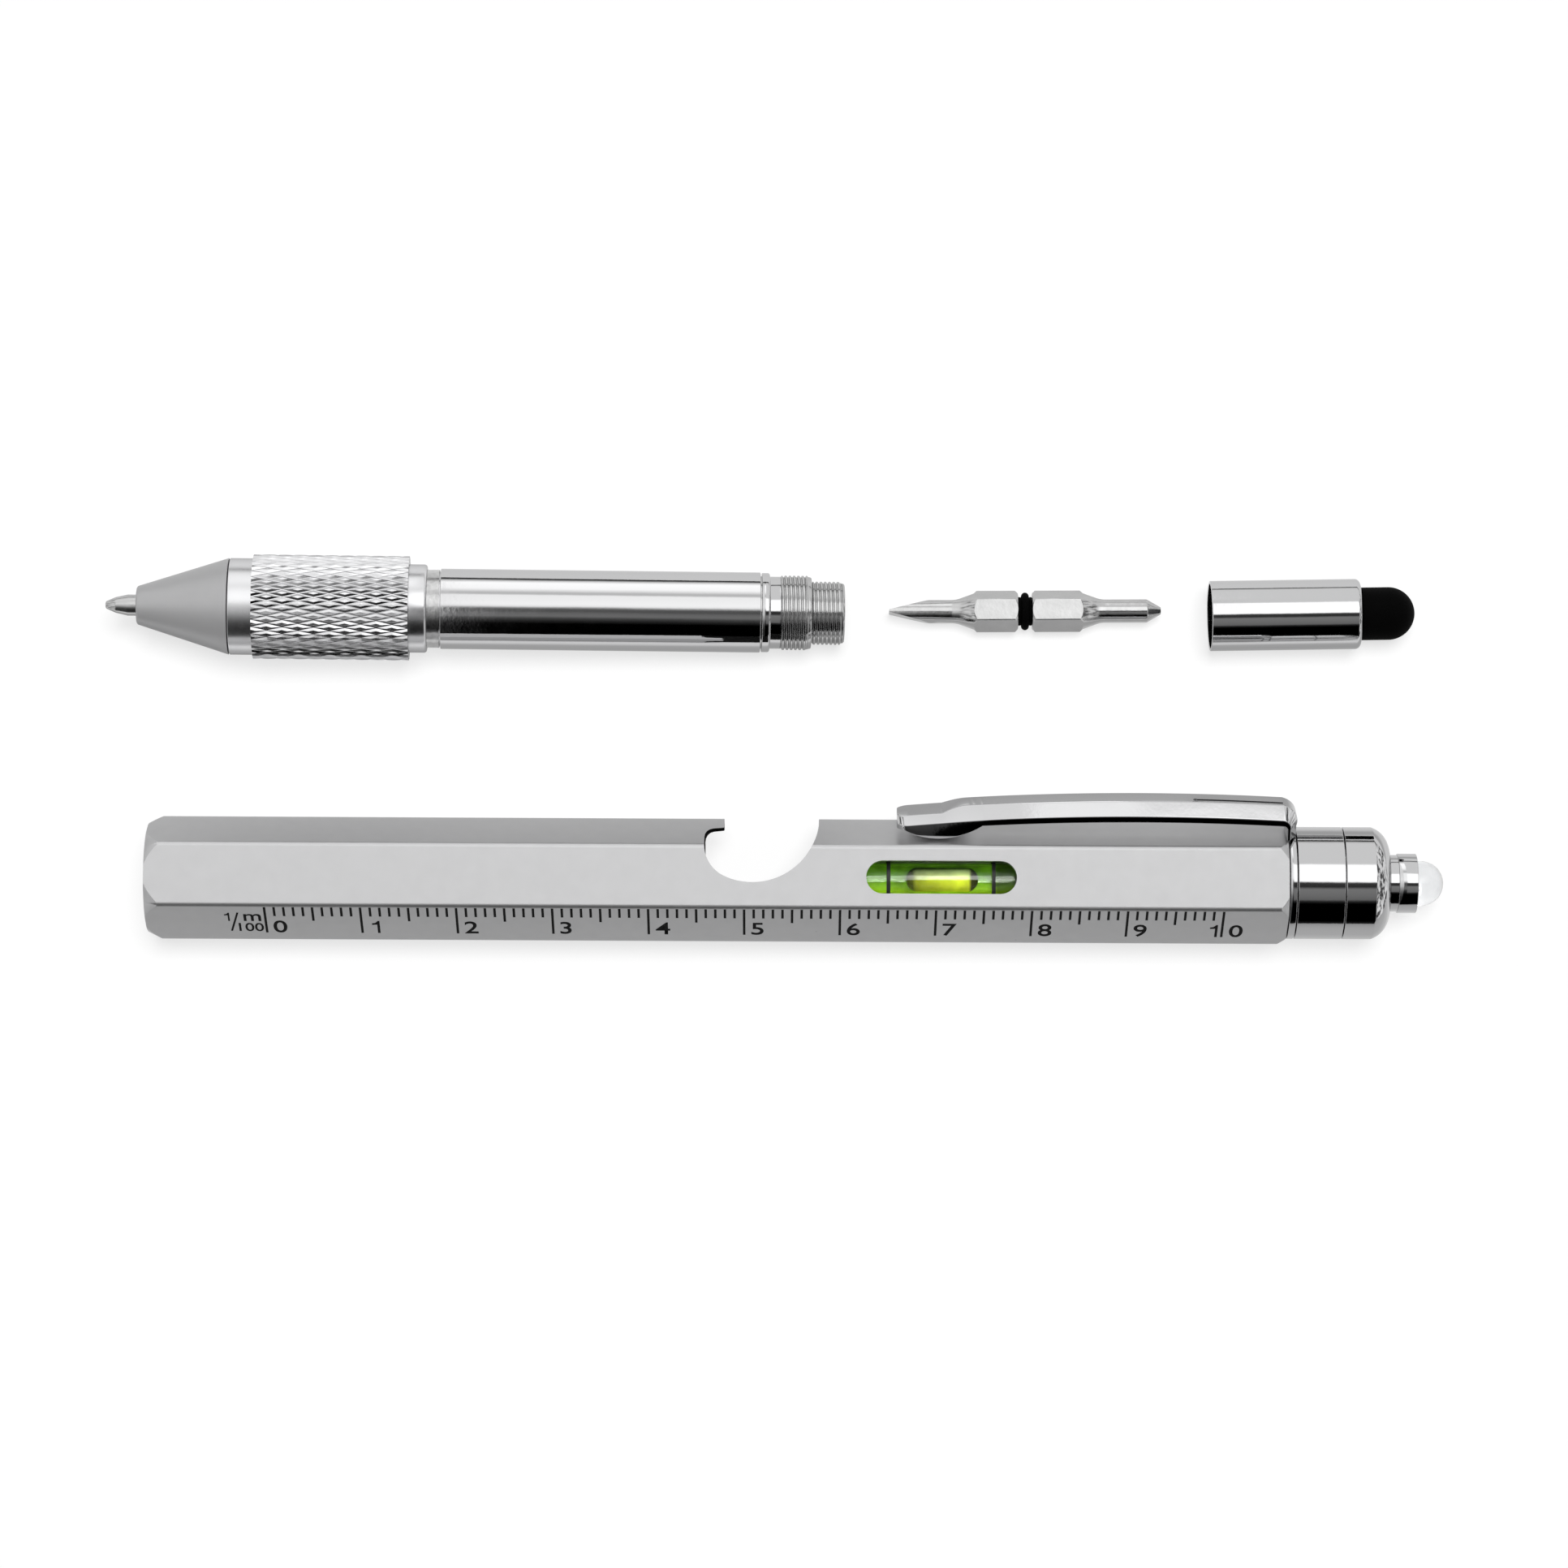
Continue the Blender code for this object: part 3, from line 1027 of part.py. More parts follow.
def make_stylus_cap(frame):
    """The chrome sleeve, the soft domed tip held in its end and the core that fills the tip."""
    outer = STYLUS_SLEEVE_DIAMETER / 2
    inner = outer - STYLUS_SLEEVE_WALL
    hole = STYLUS_TIP_DIAMETER / 2 - STYLUS_SLEEVE_WALL + SOFT_GAP
    length = STYLUS_SLEEVE_LENGTH
    outline = [(0, inner), (0, outer)]
    round_end = STYLUS_SLEEVE_ROUND
    outline += arc(length - round_end, outer - round_end, round_end, math.pi / 2, 0, 4)
    outline += [(length, hole), (length - STYLUS_END_WALL, hole), (length - STYLUS_END_WALL, inner)]
    turned("stylus_sleeve", outline, SIDES_LARGE, frame, "chrome")
    flange_x = length - STYLUS_END_WALL - SOFT_GAP - STYLUS_FLANGE_THICKNESS
    neck = hole - SOFT_GAP
    radius = STYLUS_TIP_DIAMETER / 2
    start = length + SOFT_GAP - flange_x
    tip = length + STYLUS_TIP_LENGTH - flange_x
    bore = radius - STYLUS_TIP_WALL
    soft = [(0, bore), (0, STYLUS_FLANGE_DIAMETER / 2), (STYLUS_FLANGE_THICKNESS, STYLUS_FLANGE_DIAMETER / 2)]
    soft += [(STYLUS_FLANGE_THICKNESS, neck), (start, neck)]
    soft += [(start, radius)] + arc(tip - radius, 0, radius, math.pi / 2, 0)[:-1] + [(tip, 0)]
    soft += [(tip - STYLUS_TIP_WALL, 0)] + arc(tip - radius, 0, bore, 0, math.pi / 2, 3)[1:]
    turned("stylus_tip", soft, SIDES_SMALL, frame, "black_rubber", flange_x)
    core = bore - SOFT_GAP
    head = inner - SOFT_GAP
    plug = [
        (0, 0),
        (0, head),
        (STYLUS_PLUG_LENGTH, head),
        (STYLUS_PLUG_LENGTH, core),
        (STYLUS_PLUG_LENGTH + STYLUS_CORE_LENGTH, core),
        (STYLUS_PLUG_LENGTH + STYLUS_CORE_LENGTH, 0),
    ]
    turned("stylus_core", plug, SIDES_SMALL, frame, "nickel_steel", flange_x - SOFT_GAP - STYLUS_PLUG_LENGTH)


def table_bounds():
    """Lowest and highest corner of all the pieces, guides left out."""
    graph = bpy.context.evaluated_depsgraph_get()
    corners = []
    for item in bpy.data.objects:
        if item.type in {"MESH", "CURVE"} and not item.hide_render:
            shown = item.evaluated_get(graph)
            mesh = shown.to_mesh()
            corners += [shown.matrix_world @ vertex.co for vertex in mesh.vertices]
            shown.to_mesh_clear()
    low = Vector(min(corner[axis] for corner in corners) for axis in range(3))
    high = Vector(max(corner[axis] for corner in corners) for axis in range(3))
    return low, high


def main():
    clear_scene()
    table = empty("table_origin")
    barrel_frame = empty("barrel_frame", table, (0, 0, TORCH_RADIUS))
    pen_frame = empty("pen_frame", table, (PEN_X, PEN_Y, PEN_HEIGHT), (0, PEN_TILT, PEN_TURN))
    bit_frame = empty("bit_frame", table, (BIT_X, BIT_Y, BIT_HEIGHT), (0, 0, BIT_TURN))
    cap_frame = empty("cap_frame", table, (CAP_X, CAP_Y, STYLUS_SLEEVE_DIAMETER / 2), (0, 0, CAP_TURN))
    make_barrel(barrel_frame)
    make_thread_sleeve(barrel_frame)
    make_vial(barrel_frame)
    make_torch_housing(barrel_frame)
    make_cells(barrel_frame)
    make_torch_cap(barrel_frame)
    make_push_light(barrel_frame)
    make_clip(barrel_frame)
    make_refill(pen_frame)
    make_nose_cone(pen_frame)
    make_grip(pen_frame)
    make_pen_tail(pen_frame)
    make_bit(bit_frame)
    make_stylus_cap(cap_frame)
    bpy.context.view_layer.update()
    low, high = table_bounds()
    table.location = (-(low.x + high.x) / 2, -(low.y + high.y) / 2, -low.z)
    bpy.context.view_layer.update()


main()
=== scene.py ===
"""Dress the multi tool pen: fine shapes, finishes, table, light and camera."""
import json
import math

import bmesh
import bpy
from bpy.props import FloatProperty, FloatVectorProperty, IntProperty, PointerProperty
from mathutils import Matrix, Vector


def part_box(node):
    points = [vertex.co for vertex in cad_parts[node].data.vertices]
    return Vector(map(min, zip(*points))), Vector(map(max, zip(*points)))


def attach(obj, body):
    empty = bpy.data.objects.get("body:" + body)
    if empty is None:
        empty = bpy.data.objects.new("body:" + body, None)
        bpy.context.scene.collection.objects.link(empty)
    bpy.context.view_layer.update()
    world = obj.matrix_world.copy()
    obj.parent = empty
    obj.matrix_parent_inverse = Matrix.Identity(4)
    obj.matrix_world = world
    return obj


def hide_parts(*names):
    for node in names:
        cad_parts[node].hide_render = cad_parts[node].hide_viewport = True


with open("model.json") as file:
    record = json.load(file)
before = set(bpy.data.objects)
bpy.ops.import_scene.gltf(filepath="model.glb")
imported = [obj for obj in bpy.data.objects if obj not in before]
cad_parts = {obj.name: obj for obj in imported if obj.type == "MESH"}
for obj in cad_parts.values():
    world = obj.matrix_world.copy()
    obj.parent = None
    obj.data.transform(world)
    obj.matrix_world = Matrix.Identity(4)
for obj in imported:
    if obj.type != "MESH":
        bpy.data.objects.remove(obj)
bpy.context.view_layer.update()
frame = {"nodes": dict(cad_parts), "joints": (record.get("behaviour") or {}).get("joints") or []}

bl_info = {
    "name": "Multi tool pen dressing",
    "version": (1, 0, 0),
    "blender": (4, 5, 0),
    "location": "View3D > Sidebar > Multi tool pen",
    "description": "Fine shapes, finishes, table, light and camera for the multi tool pen",
    "category": "Object",
}

WELD = 1e-6
OVERRUN = 0.001
FINE_TURN = 128
SMALL_TURN = 72
SMOOTH = math.radians(32)

# Clearance between turned pieces that go into each other, and the rounds of their edges
FIT = 0.00012
HIDDEN_ROUND = 0.0001
TURNED_ROUND = 0.00008

# The torch housing's end wall, the soft tip's skin, and how far out the notch's walls can be
HOUSING_END = 0.0008
TIP_SKIN = 0.0009
NOTCH_WALL_REACH = 0.0061


# Properties
def length(description, default):
    """A length that the sidebar shows in the scene's units."""
    return FloatProperty(description=description, default=default, unit="LENGTH", precision=5)


def colour(description, default):
    """A colour that the sidebar shows as a swatch."""
    return FloatVectorProperty(description=description, default=default, subtype="COLOR", size=3)


def number(description, default):
    """A plain number."""
    return FloatProperty(description=description, default=default)


class StageSettings(bpy.types.PropertyGroup):
    """Table, light and camera."""

    camera_distance: length("From the aim point to the camera", 0.55)
    camera_tilt: number("Degrees from straight down", 5.068)
    camera_roll: number("Degrees about the line of sight", 0.284)
    camera_lens: number("Focal length in millimetres", 119.87)
    aim_x: length("Where the camera looks, along the barrel", 0.001165)
    aim_y: length("Where the camera looks, across the table", -0.00372)
    aim_height: length("Height of the aim point", 0.006)
    table_size: length("Width of the white table", 0.21)
    table_glow: number("Share of the table's white that no shadow darkens", 0.72)
    sun_power: number("Strength of the soft overhead light", 3.0)
    sun_softness: number("Angle of the overhead light in degrees", 26.0)
    sun_lean: number("Degrees that the light leans to the far side", 8.0)
    sun_side: number("Degrees that the light leans to the right", 4.0)
    fill: number("Plain light from all round", 0.08)
    boxes: number("Strength of the light boxes that the metal shows", 2.0)


class FinishSettings(bpy.types.PropertyGroup):
    """Colours of the finishes."""

    barrel: colour("Satin silver of the barrel", (0.55, 0.55, 0.555))
    cone: colour("Grey paint of the nose cone", (0.45, 0.45, 0.455))
    chrome: colour("Bright plating", (0.55, 0.55, 0.555))
    nickel: colour("Plating of the bit and the threads", (0.50, 0.50, 0.50))
    aluminium: colour("Bright turned grip", (0.70, 0.70, 0.71))
    ink: colour("Black of the ruler print", (0.002, 0.002, 0.002))
    rubber: colour("Black of the stylus tip and the ring", (0.001, 0.001, 0.001))
    liquid: colour("Green of the vial's liquid", (0.22, 0.45, 0.008))
    air: colour("Yellow green of the bubble", (0.62, 0.68, 0.06))
    white: colour("The vial's bed and the refill", (0.78, 0.78, 0.75))
    brass: colour("The contact disc", (0.70, 0.48, 0.20))


class BarrelSizes(bpy.types.PropertyGroup):
    """The hexagonal barrel."""

    flats: length("Width over the flats", 0.01135)
    corner_round: length("Radius of the long corners", 0.0006)
    front_radius: length("Radius where the front chamfer starts", 0.00574)
    front_chamfer: length("Length of the turned front end", 0.00165)
    rear_radius: length("Radius where the rear chamfer ends", 0.0060)
    rear_chamfer: length("Length of the turned rear end", 0.0010)
    mouth_radius: length("Counterbore that takes the grip's collar", 0.004865)
    mouth_depth: length("Depth of that counterbore", 0.0022)
    bore_radius: length("Radius of both bores", 0.00445)
    bulkhead_start: length("Where the front bore ends", 0.0560)
    bulkhead_end: length("Where the rear bore starts", 0.0728)
    edge_round: length("Paint round on cut edges", 0.00006)
    notch_x: length("Middle of the opener notch", 0.0634)
    notch_radius: length("Radius of the wide sweep", 0.0070)
    notch_past_axis: length("How far the sweep passes the axis", 0.0006)
    claw_radius: length("Radius of the tighter claw", 0.00365)
    claw_angle: number("Degrees where the sweep meets the claw", 246.2)
    lip_round: length("Corner under the lip", 0.0010)
    lip_reach: length("How far the lip hooks over", 0.00205)
    lip_rise: length("Slope of the lip's underside", 0.0002)
    lip_drop: length("Thickness of the lip", 0.0013)
    window_width: length("Width of the vial window", 0.00345)


class PrintSizes(bpy.types.PropertyGroup):
    """The printed ruler."""

    zero_x: length("From the barrel's front end to the 0 mark", 0.0126)
    start: length("From the face's upper edge", 0.00035)
    stroke: length("Width of a mark", 0.00026)
    long_mark: length("Length of each tenth mark", 0.00475)
    middle_mark: length("Length of each fifth mark", 0.0025)
    short_mark: length("Length of the other marks", 0.00165)
    digit_height: length("Height of the figures", 0.00225)
    stretch: number("Width of the figures against the plain typeface", 1.0)
    weight: number("How much the figures are thickened", 0.010)
    digit_gap: length("From a mark to its figure", 0.00074)
    film: length("Thickness of the ink", 0.000012)


class VialSizes(bpy.types.PropertyGroup):
    """The spirit vial."""

    radius: length("Outer radius of the vial", 0.0025)
    wall: length("Wall of the vial", 0.00065)
    end: length("Thickness of its closed end", 0.0009)
    plug: length("Length of the plug", 0.0016)
    bubble_radius: length("Radius of the bubble", 0.00125)
    bubble_length: length("Length of the bubble", 0.0076)
    ring_width: length("Width of the marking rings", 0.0004)
    gap: length("Clearance between the vial's parts", 0.0001)


class ClipSizes(bpy.types.PropertyGroup):
    """The spring clip."""

    half_width: length("Half of the arm's width", 0.00225)
    edge: length("Height of the arm's sides", 0.00072)
    crest: length("Height of the arm over its underside", 0.00195)
    crest_half: length("Half of the crest's width", 0.00102)
    tail_half: length("Half of the arm's width at its tail", 0.00205)
    tail_edge: length("Height of the sides at the tail", 0.0005)
    tail_crest: length("Height of the arm at its tail", 0.00136)
    tail_crest_half: length("Half of the crest's width there", 0.00135)
    rib_start: length("From the tail to the rib", 0.0047)
    rib_ramp: length("Length over which the rib rises", 0.0026)
    widening: length("Length over which the tail widens to the arm", 0.0090)
    clearance: length("From the barrel's face to the underside", 0.0015)
    bow: length("How far the arm bows up", 0.00073)
    climb: length("How much higher the head is than the tail", 0.00078)
    dip: length("How far the tail stays below the clearance", 0.00041)
    tail_round: length("Radius of the tail's corners", 0.0013)
    leg: length("Thickness of the folded leg", 0.00105)
    bend: length("Inner radius of the fold", 0.0004)
    bump_start: length("From the tail to the contact bump", 0.0007)
    bump_length: length("Length of the contact bump", 0.0082)
    bump_depth: length("Depth of the contact bump", 0.00124)
    groove_length: length("Length of the groove at the head", 0.0094)
    groove_width: length("Width of the groove", 0.00034)


class TorchSizes(bpy.types.PropertyGroup):
    """Torch housing, cap, push collar and light."""

    radius: length("Radius of the head", 0.0059)
    edge: length("Round of the seams", 0.00006)
    spigot: length("Radius of the spigot", 0.00425)
    spigot_length: length("Length inside the barrel", 0.0143)
    wall: length("Wall of the housing", 0.00025)
    thread: length("Radius of the cap's thread", 0.00485)
    thread_length: length("Length of that thread", 0.0036)
    cap_bore: length("Radius inside the cap", 0.0042)
    shoulder: length("Radius of the cap's round", 0.0026)
    shoulder_start: number("Degrees where the round starts", 74.0)
    end_wall: length("Thickness of the cap's end", 0.0010)
    stem: length("Radius of the push stem", 0.002985)
    collar: length("Radius of the push collar", 0.003125)
    collar_length: length("Length of that collar", 0.0020)
    flange: length("Radius of the stem's flange", 0.0039)
    flange_thickness: length("Thickness of that flange", 0.0006)
    light: length("Radius of the light", 0.00236)
    light_flange: length("Radius of the light's foot, inside its spring", 0.00245)
    foot: length("Thickness of the light's foot", 0.0008)
    gap: length("Clearance round the light", 0.0001)


class PenSizes(bpy.types.PropertyGroup):
    """The pen unit, measured from its tip."""

    ball: length("Radius of the writing ball", 0.00032)
    tip_taper: length("Length of the tip's cone", 0.00235)
    tip_radius: length("Radius of the refill's tip", 0.00112)
    tip_length: length("Length of the refill's tip", 0.0060)
    neck_radius: length("Radius inside the refill tube", 0.0010)
    neck_length: length("Length inside the refill tube", 0.0020)
    cone_start: length("From the tip to the cone", 0.0033)
    nose_radius: length("Radius of the cone's nose", 0.0020)
    cone_length: length("Length of the cone", 0.0097)
    band_radius: length("Radius of the plain band", 0.0051)
    band_length: length("Length of the plain band", 0.0026)
    cone_thread: length("Radius of the cone's thread", 0.0039)
    cone_thread_length: length("Length of that thread", 0.0045)
    knurl_radius: length("Radius over the diamonds", 0.005525)
    knurl_depth: length("Depth between the diamonds", 0.00017)
    knurl_length: length("Length of the knurl", 0.0164)
    knurl_crest: number("Share of a diamond that its top takes", 0.34)
    diamonds: IntProperty(description="Diamonds round the grip", default=42)
    diamond_rows: IntProperty(description="Half rows along the grip", default=10)
    collar_radius: length("Radius of the collar", 0.004665)
    collar_length: length("Length of the collar", 0.0019)
    neck: length("Radius behind the collar", 0.0041)
    neck_run: length("Length behind the collar", 0.0013)
    spigot: length("Radius inside the tube", 0.00383)
    spigot_length: length("Length inside the tube", 0.0050)
    channel: length("Radius of the refill's channel", 0.0017)
    tube_radius: length("Radius of the body tube", 0.00425)
    tube_wall: length("Wall of the body tube", 0.0003)
    ring_radius: length("Radius of the tail's ring", 0.0042)
    ring_length: length("Length of the tail's ring", 0.0010)
    relief_radius: length("Radius before the thread", 0.00382)
    relief_length: length("Length before the thread", 0.0011)
    thread_radius: length("Radius over the barrel thread", 0.00395)
    thread_length: length("Length of the barrel thread", 0.0033)
    stud_radius: length("Radius over the cap thread", 0.00335)
    thread_depth: length("Depth of both threads", 0.00017)
    pitch: length("Pitch of both threads", 0.00045)
    tail_spigot: length("Length inside the tube", 0.0090)
    socket_flats: length("Width of the bit socket", 0.0043)
    socket_depth: length("Depth of the bit socket", 0.0145)


class BitSizes(bpy.types.PropertyGroup):
    """The driver bit, measured from its flat blade."""

    turn: number("Degrees from the barrel's line", 0.49)
    flats: length("Width over the flats", 0.0039)
    corner_round: length("Radius of the corners", 0.0002)
    shank: length("Radius of the shanks", 0.00124)
    blade: length("Length of the blade's wedge", 0.0043)
    blade_tip: length("Thickness at the blade's tip", 0.00028)
    front_shank: length("Length of the front shank", 0.0028)
    flare: length("Length of each flare", 0.0019)
    land_chamfer: length("Length of the turned ends of each land", 0.00036)
    front_hex: length("Length of the front land", 0.0047)
    groove: length("Length of the ring's groove", 0.0015)
    groove_radius: length("Radius of the groove", 0.00135)
    rear_hex: length("Length of the rear land", 0.0054)
    rear_shank: length("Length of the rear shank", 0.0049)
    cross: length("Length of the cross point's taper", 0.0015)
    cross_tip: length("Radius at the cross point's end", 0.00038)
    flute: length("Length of the flutes", 0.0026)
    wing: length("Thickness of the cross point's wings", 0.0005)
    ring_section: length("Radius of the ring's section", 0.00041)


class StylusSizes(bpy.types.PropertyGroup):
    """The stylus cap, measured from its open mouth."""

    turn: number("Degrees from the barrel's line", 1.10)
    radius: length("Radius of the sleeve", 0.003725)
    length: length("Length of the sleeve", 0.0159)
    wall: length("Wall of the sleeve", 0.0003)
    edge: length("Round at the closed end", 0.00055)
    tip_radius: length("Radius of the soft tip", 0.0028)
    tip_length: length("Length of the soft tip", 0.0058)
    end_wall: length("Thickness of the sleeve's end", 0.0006)


# What the metal sees over the table: degrees from overhead towards the far side, and brightness
BOXES_OVER_GRIP = [
    (-90, 0.10), (-80, 0.05), (-60, 0.04), (-45, 0.10), (-34, 0.25), (-24, 0.50), (-14, 0.85),
    (-5, 1.0), (10, 1.35), (40, 1.15), (60, 1.25), (84, 1.0), (90, 0.6),
]
BOXES_OVER_TUBE = [
    (-90, 0.0), (-46, 0.0), (-38, 0.025), (-31, 0.08), (-24, 0.24), (-17, 0.22), (-10, 0.13),
    (-4, 0.16), (0, 0.6), (4, 1.4), (9, 1.6), (35, 1.5), (39, 0.85), (44, 0.85), (50, 1.3),
    (57, 1.7), (76, 1.8), (82, 1.3), (87, 0.6), (90, 0.1),
]
BOXES_OVER_TORCH = [
    (-90, 0.0), (-47, 0.0), (-42, 0.03), (-38, 0.20), (-30, 0.25), (-17, 0.29), (-12, 0.04),
    (-5, 0.06), (-3, 0.3), (-1, 1.9), (33, 1.9), (36, 1.02), (86, 1.02), (90, 0.6),
]


# Painted shade in the metal: how bright the table looks in the metal, by place across it, darker on the near
# side of each row of pieces, standing in for their shadow
TABLE_IN_METAL = [
    (-0.10, 0.40), (-0.073, 0.50), (-0.045, 0.60), (-0.027, 0.68), (-0.0205, 0.86), (-0.0195, 1.0),
    (-0.002, 1.0), (0.003, 0.62), (0.008, 0.58), (0.0115, 0.70), (0.0125, 1.0), (0.10, 1.0),
]

# Where one set of boxes gives way to the next, by the sideways part of a reflected ray
TUBE_SEAM = (-0.0345, -0.0325)
TORCH_SEAM = (0.039, 0.045)
SEAM_BEND = -0.034

# The cluttered ends of the room: where they begin, and their brightness
ROOM_SEAM = (0.45, 0.70)
ROOM_ENDS = [(0.42, 0.1), (0.5, 0.9), (0.6, 1.2)]
WHITE = (1, 1, 1, 1)


GROUPS = {
    "stage": StageSettings,
    "finishes": FinishSettings,
    "barrel": BarrelSizes,
    "ruler": PrintSizes,
    "vial": VialSizes,
    "clip": ClipSizes,
    "torch": TorchSizes,
    "pen": PenSizes,
    "bit": BitSizes,
    "stylus": StylusSizes,
}


def sizes(group):
    """The settings of one group."""
    return getattr(bpy.context.scene, "multi_tool_pen_" + group)


# Modelling by hand
def fresh():
    """Leave edit mode and select nothing."""
    if bpy.context.object and bpy.context.object.mode != "OBJECT":
        bpy.ops.object.mode_set(mode="OBJECT")
    bpy.ops.object.select_all(action="DESELECT")


def choose(made):
    """Select one object and make it the active one."""
    fresh()
    made.select_set(True)
    bpy.context.view_layer.objects.active = made


def edit(made):
    """Open one object with all of its mesh selected."""
    choose(made)
    bpy.ops.object.mode_set(mode="EDIT")
    bpy.ops.mesh.select_all(action="SELECT")


def close_edit():
    """Merge doubles, face outwards and leave edit mode."""
    bpy.ops.mesh.select_all(action="SELECT")
    bpy.ops.mesh.remove_doubles(threshold=WELD)
    bpy.ops.mesh.normals_make_consistent(inside=False)
    bpy.ops.object.mode_set(mode="OBJECT")


def draw(name, points, closed):
    """Draw a line point by point, starting from a plane drawn together to one point."""
    fresh()
    bpy.ops.mesh.primitive_plane_add(size=OVERRUN)
    made = bpy.context.object
    made.name = name
    bpy.ops.object.mode_set(mode="EDIT")
    bpy.ops.mesh.select_all(action="SELECT")
    bpy.ops.mesh.merge(type="CENTER")
    bpy.ops.transform.translate(value=points[0])
    for before, after in zip(points, points[1:]):
        bpy.ops.mesh.extrude_region_move(TRANSFORM_OT_translate={"value": after - before})
    bpy.ops.mesh.select_all(action="SELECT")
    if closed:
        line = bmesh.from_edit_mesh(made.data)
        line.edges.new([vert for vert in line.verts if len(vert.link_edges) == 1])
        bmesh.update_edit_mesh(made.data)
    return made


def filleted(corners, steps=4):
    """An outline of (x, y, radius) corners, each rounded by its own radius."""
    points = []
    for i, (x, y, radius) in enumerate(corners):
        here = Vector((x, y))
        if radius == 0:
            points.append(here)
            continue
        way_in = (Vector(corners[i - 1][:2]) - here).normalized()
        way_out = (Vector(corners[(i + 1) % len(corners)][:2]) - here).normalized()
        half = way_in.angle(way_out) / 2
        centre = here + (way_in + way_out).normalized() * (radius / math.sin(half))
        start = here + way_in * (radius / math.tan(half)) - centre
        side = 1 if way_in.cross(way_out) < 0 else -1
        for step in range(steps + 1):
            turn = side * (math.pi - 2 * half) * step / steps
            points.append(centre + Matrix.Rotation(turn, 2) @ start)
    return points


def arc(x, y, radius, start, end, steps):
    """Sharp corners along an arc; the angles are in degrees."""
    turns = [math.radians(start + (end - start) * step / steps) for step in range(steps + 1)]
    return [(x + radius * math.cos(turn), y + radius * math.sin(turn), 0) for turn in turns]


def lathe(name, corners, turns=FINE_TURN, fillet_steps=4):
    """Turn a piece about X from (along, radius, fillet) corners."""
    outline = filleted(corners, fillet_steps)
    points = [Vector((along, 0, radius)) for along, radius in outline]
    closed = corners[0][1] > 0 or corners[-1][1] > 0
    made = draw(name, points, closed)
    bpy.ops.mesh.spin(steps=turns, angle=math.tau, center=(0, 0, 0), axis=(1, 0, 0))
    close_edit()
    return made


def prism(name, outline, start, end, axis):
    """Fill an outline and extrude it: along X from (y, z) points, or along Z from (x, y) points."""
    if axis == "X":
        points = [Vector((start, a, b)) for a, b in outline]
        way = Vector((end - start, 0, 0))
    else:
        points = [Vector((a, b, start)) for a, b in outline]
        way = Vector((0, 0, end - start))
    made = draw(name, points, True)
    bpy.ops.mesh.select_all(action="SELECT")
    bpy.ops.mesh.edge_face_add()
    bpy.ops.mesh.extrude_region_move(TRANSFORM_OT_translate={"value": way})
    close_edit()
    return made


def boolean(target, tool, operation="DIFFERENCE"):
    """Cut, join or trim one object by another, which is used up."""
    choose(target)
    modifier = target.modifiers.new(tool.name, "BOOLEAN")
    modifier.operation = operation
    modifier.object = tool
    bpy.ops.object.modifier_apply(modifier=modifier.name)
    bpy.data.objects.remove(tool)


def soften(made, width, segments=2, angle=28):
    """Round the sharp edges."""
    choose(made)
    modifier = made.modifiers.new("edges", "BEVEL")
    modifier.width = width
    modifier.segments = segments
    modifier.limit_method = "ANGLE"
    modifier.angle_limit = math.radians(angle)
    bpy.ops.object.modifier_apply(modifier=modifier.name)


def duplicate(made, matrix):
    """A copy with its own mesh, moved by a matrix."""
    copy = made.copy()
    copy.data = made.data.copy()
    bpy.context.collection.objects.link(copy)
    copy.data.transform(matrix)
    return copy


def join(name, pieces):
    """Join pieces into one object."""
    choose(pieces[0])
    for made in pieces[1:]:
        made.select_set(True)
    bpy.ops.object.join()
    pieces[0].name = name
    return pieces[0]


def settle(made, axes, smooth=SMOOTH):
    """Shade a piece, move it to its group's axes and put its place into its mesh."""
    choose(made)
    bpy.ops.object.shade_smooth_by_angle(angle=smooth)
    modifier = made.modifiers.new("flat_faces", "WEIGHTED_NORMAL")
    modifier.keep_sharp = True
    bpy.ops.object.modifier_apply(modifier=modifier.name)
    made.matrix_world = axes
    bpy.ops.object.transform_apply(location=True, rotation=True, scale=True)
    return made


def dress(made, body, slot, look, *nodes):
    """Give a piece its finish and its body, and hide the solids that it stands for; the slot is not used."""
    made.data.materials.clear()
    made.data.materials.append(finish(look))
    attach(made, body)
    if nodes:
        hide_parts(*nodes)


def turned(name, corners, axes, body, slot, look, *nodes, turns=FINE_TURN):
    """Turn a piece, put it in its place and dress it."""
    dress(settle(lathe(name, corners, turns), axes), body, slot, look, *nodes)


def second_finish(made, name, chosen):
    """Give some faces of a dressed piece another finish."""
    made.data.materials.append(finish(name))
    for face in made.data.polygons:
        if chosen(face):
            face.material_index = 1


# Axes of the groups
def joint_named(name):
    """One joint of the frame."""
    return next(joint for joint in frame["joints"] if joint["name"] == name)


def barrel_axes():
    """X runs along the barrel from its front end."""
    low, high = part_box("torch_housing")
    middle = (low + high) / 2
    return Matrix.Translation((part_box("barrel")[0].x, middle.y, middle.z))


def axes_along(start, way):
    """X runs along a way from a point, and Y stays level."""
    way = way.normalized()
    across = Vector((0, 0, 1)).cross(way).normalized()
    turn = Matrix((way, across, way.cross(across))).transposed()
    return Matrix.Translation(start) @ turn.to_4x4()


def pen_axes():
    """X runs along the pen unit from its tip."""
    screw = joint_named("nose_cone_turn")
    return axes_along(Vector(screw["pos_m"]), -Vector(screw["axis"]))


def level_axes(node, turn, span):
    """X runs along a loose piece from its left end, turned a little on the table."""
    low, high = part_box(node)
    way = Vector((math.cos(math.radians(turn)), math.sin(math.radians(turn)), 0))
    return axes_along((low + high) / 2 - way * span / 2, way)


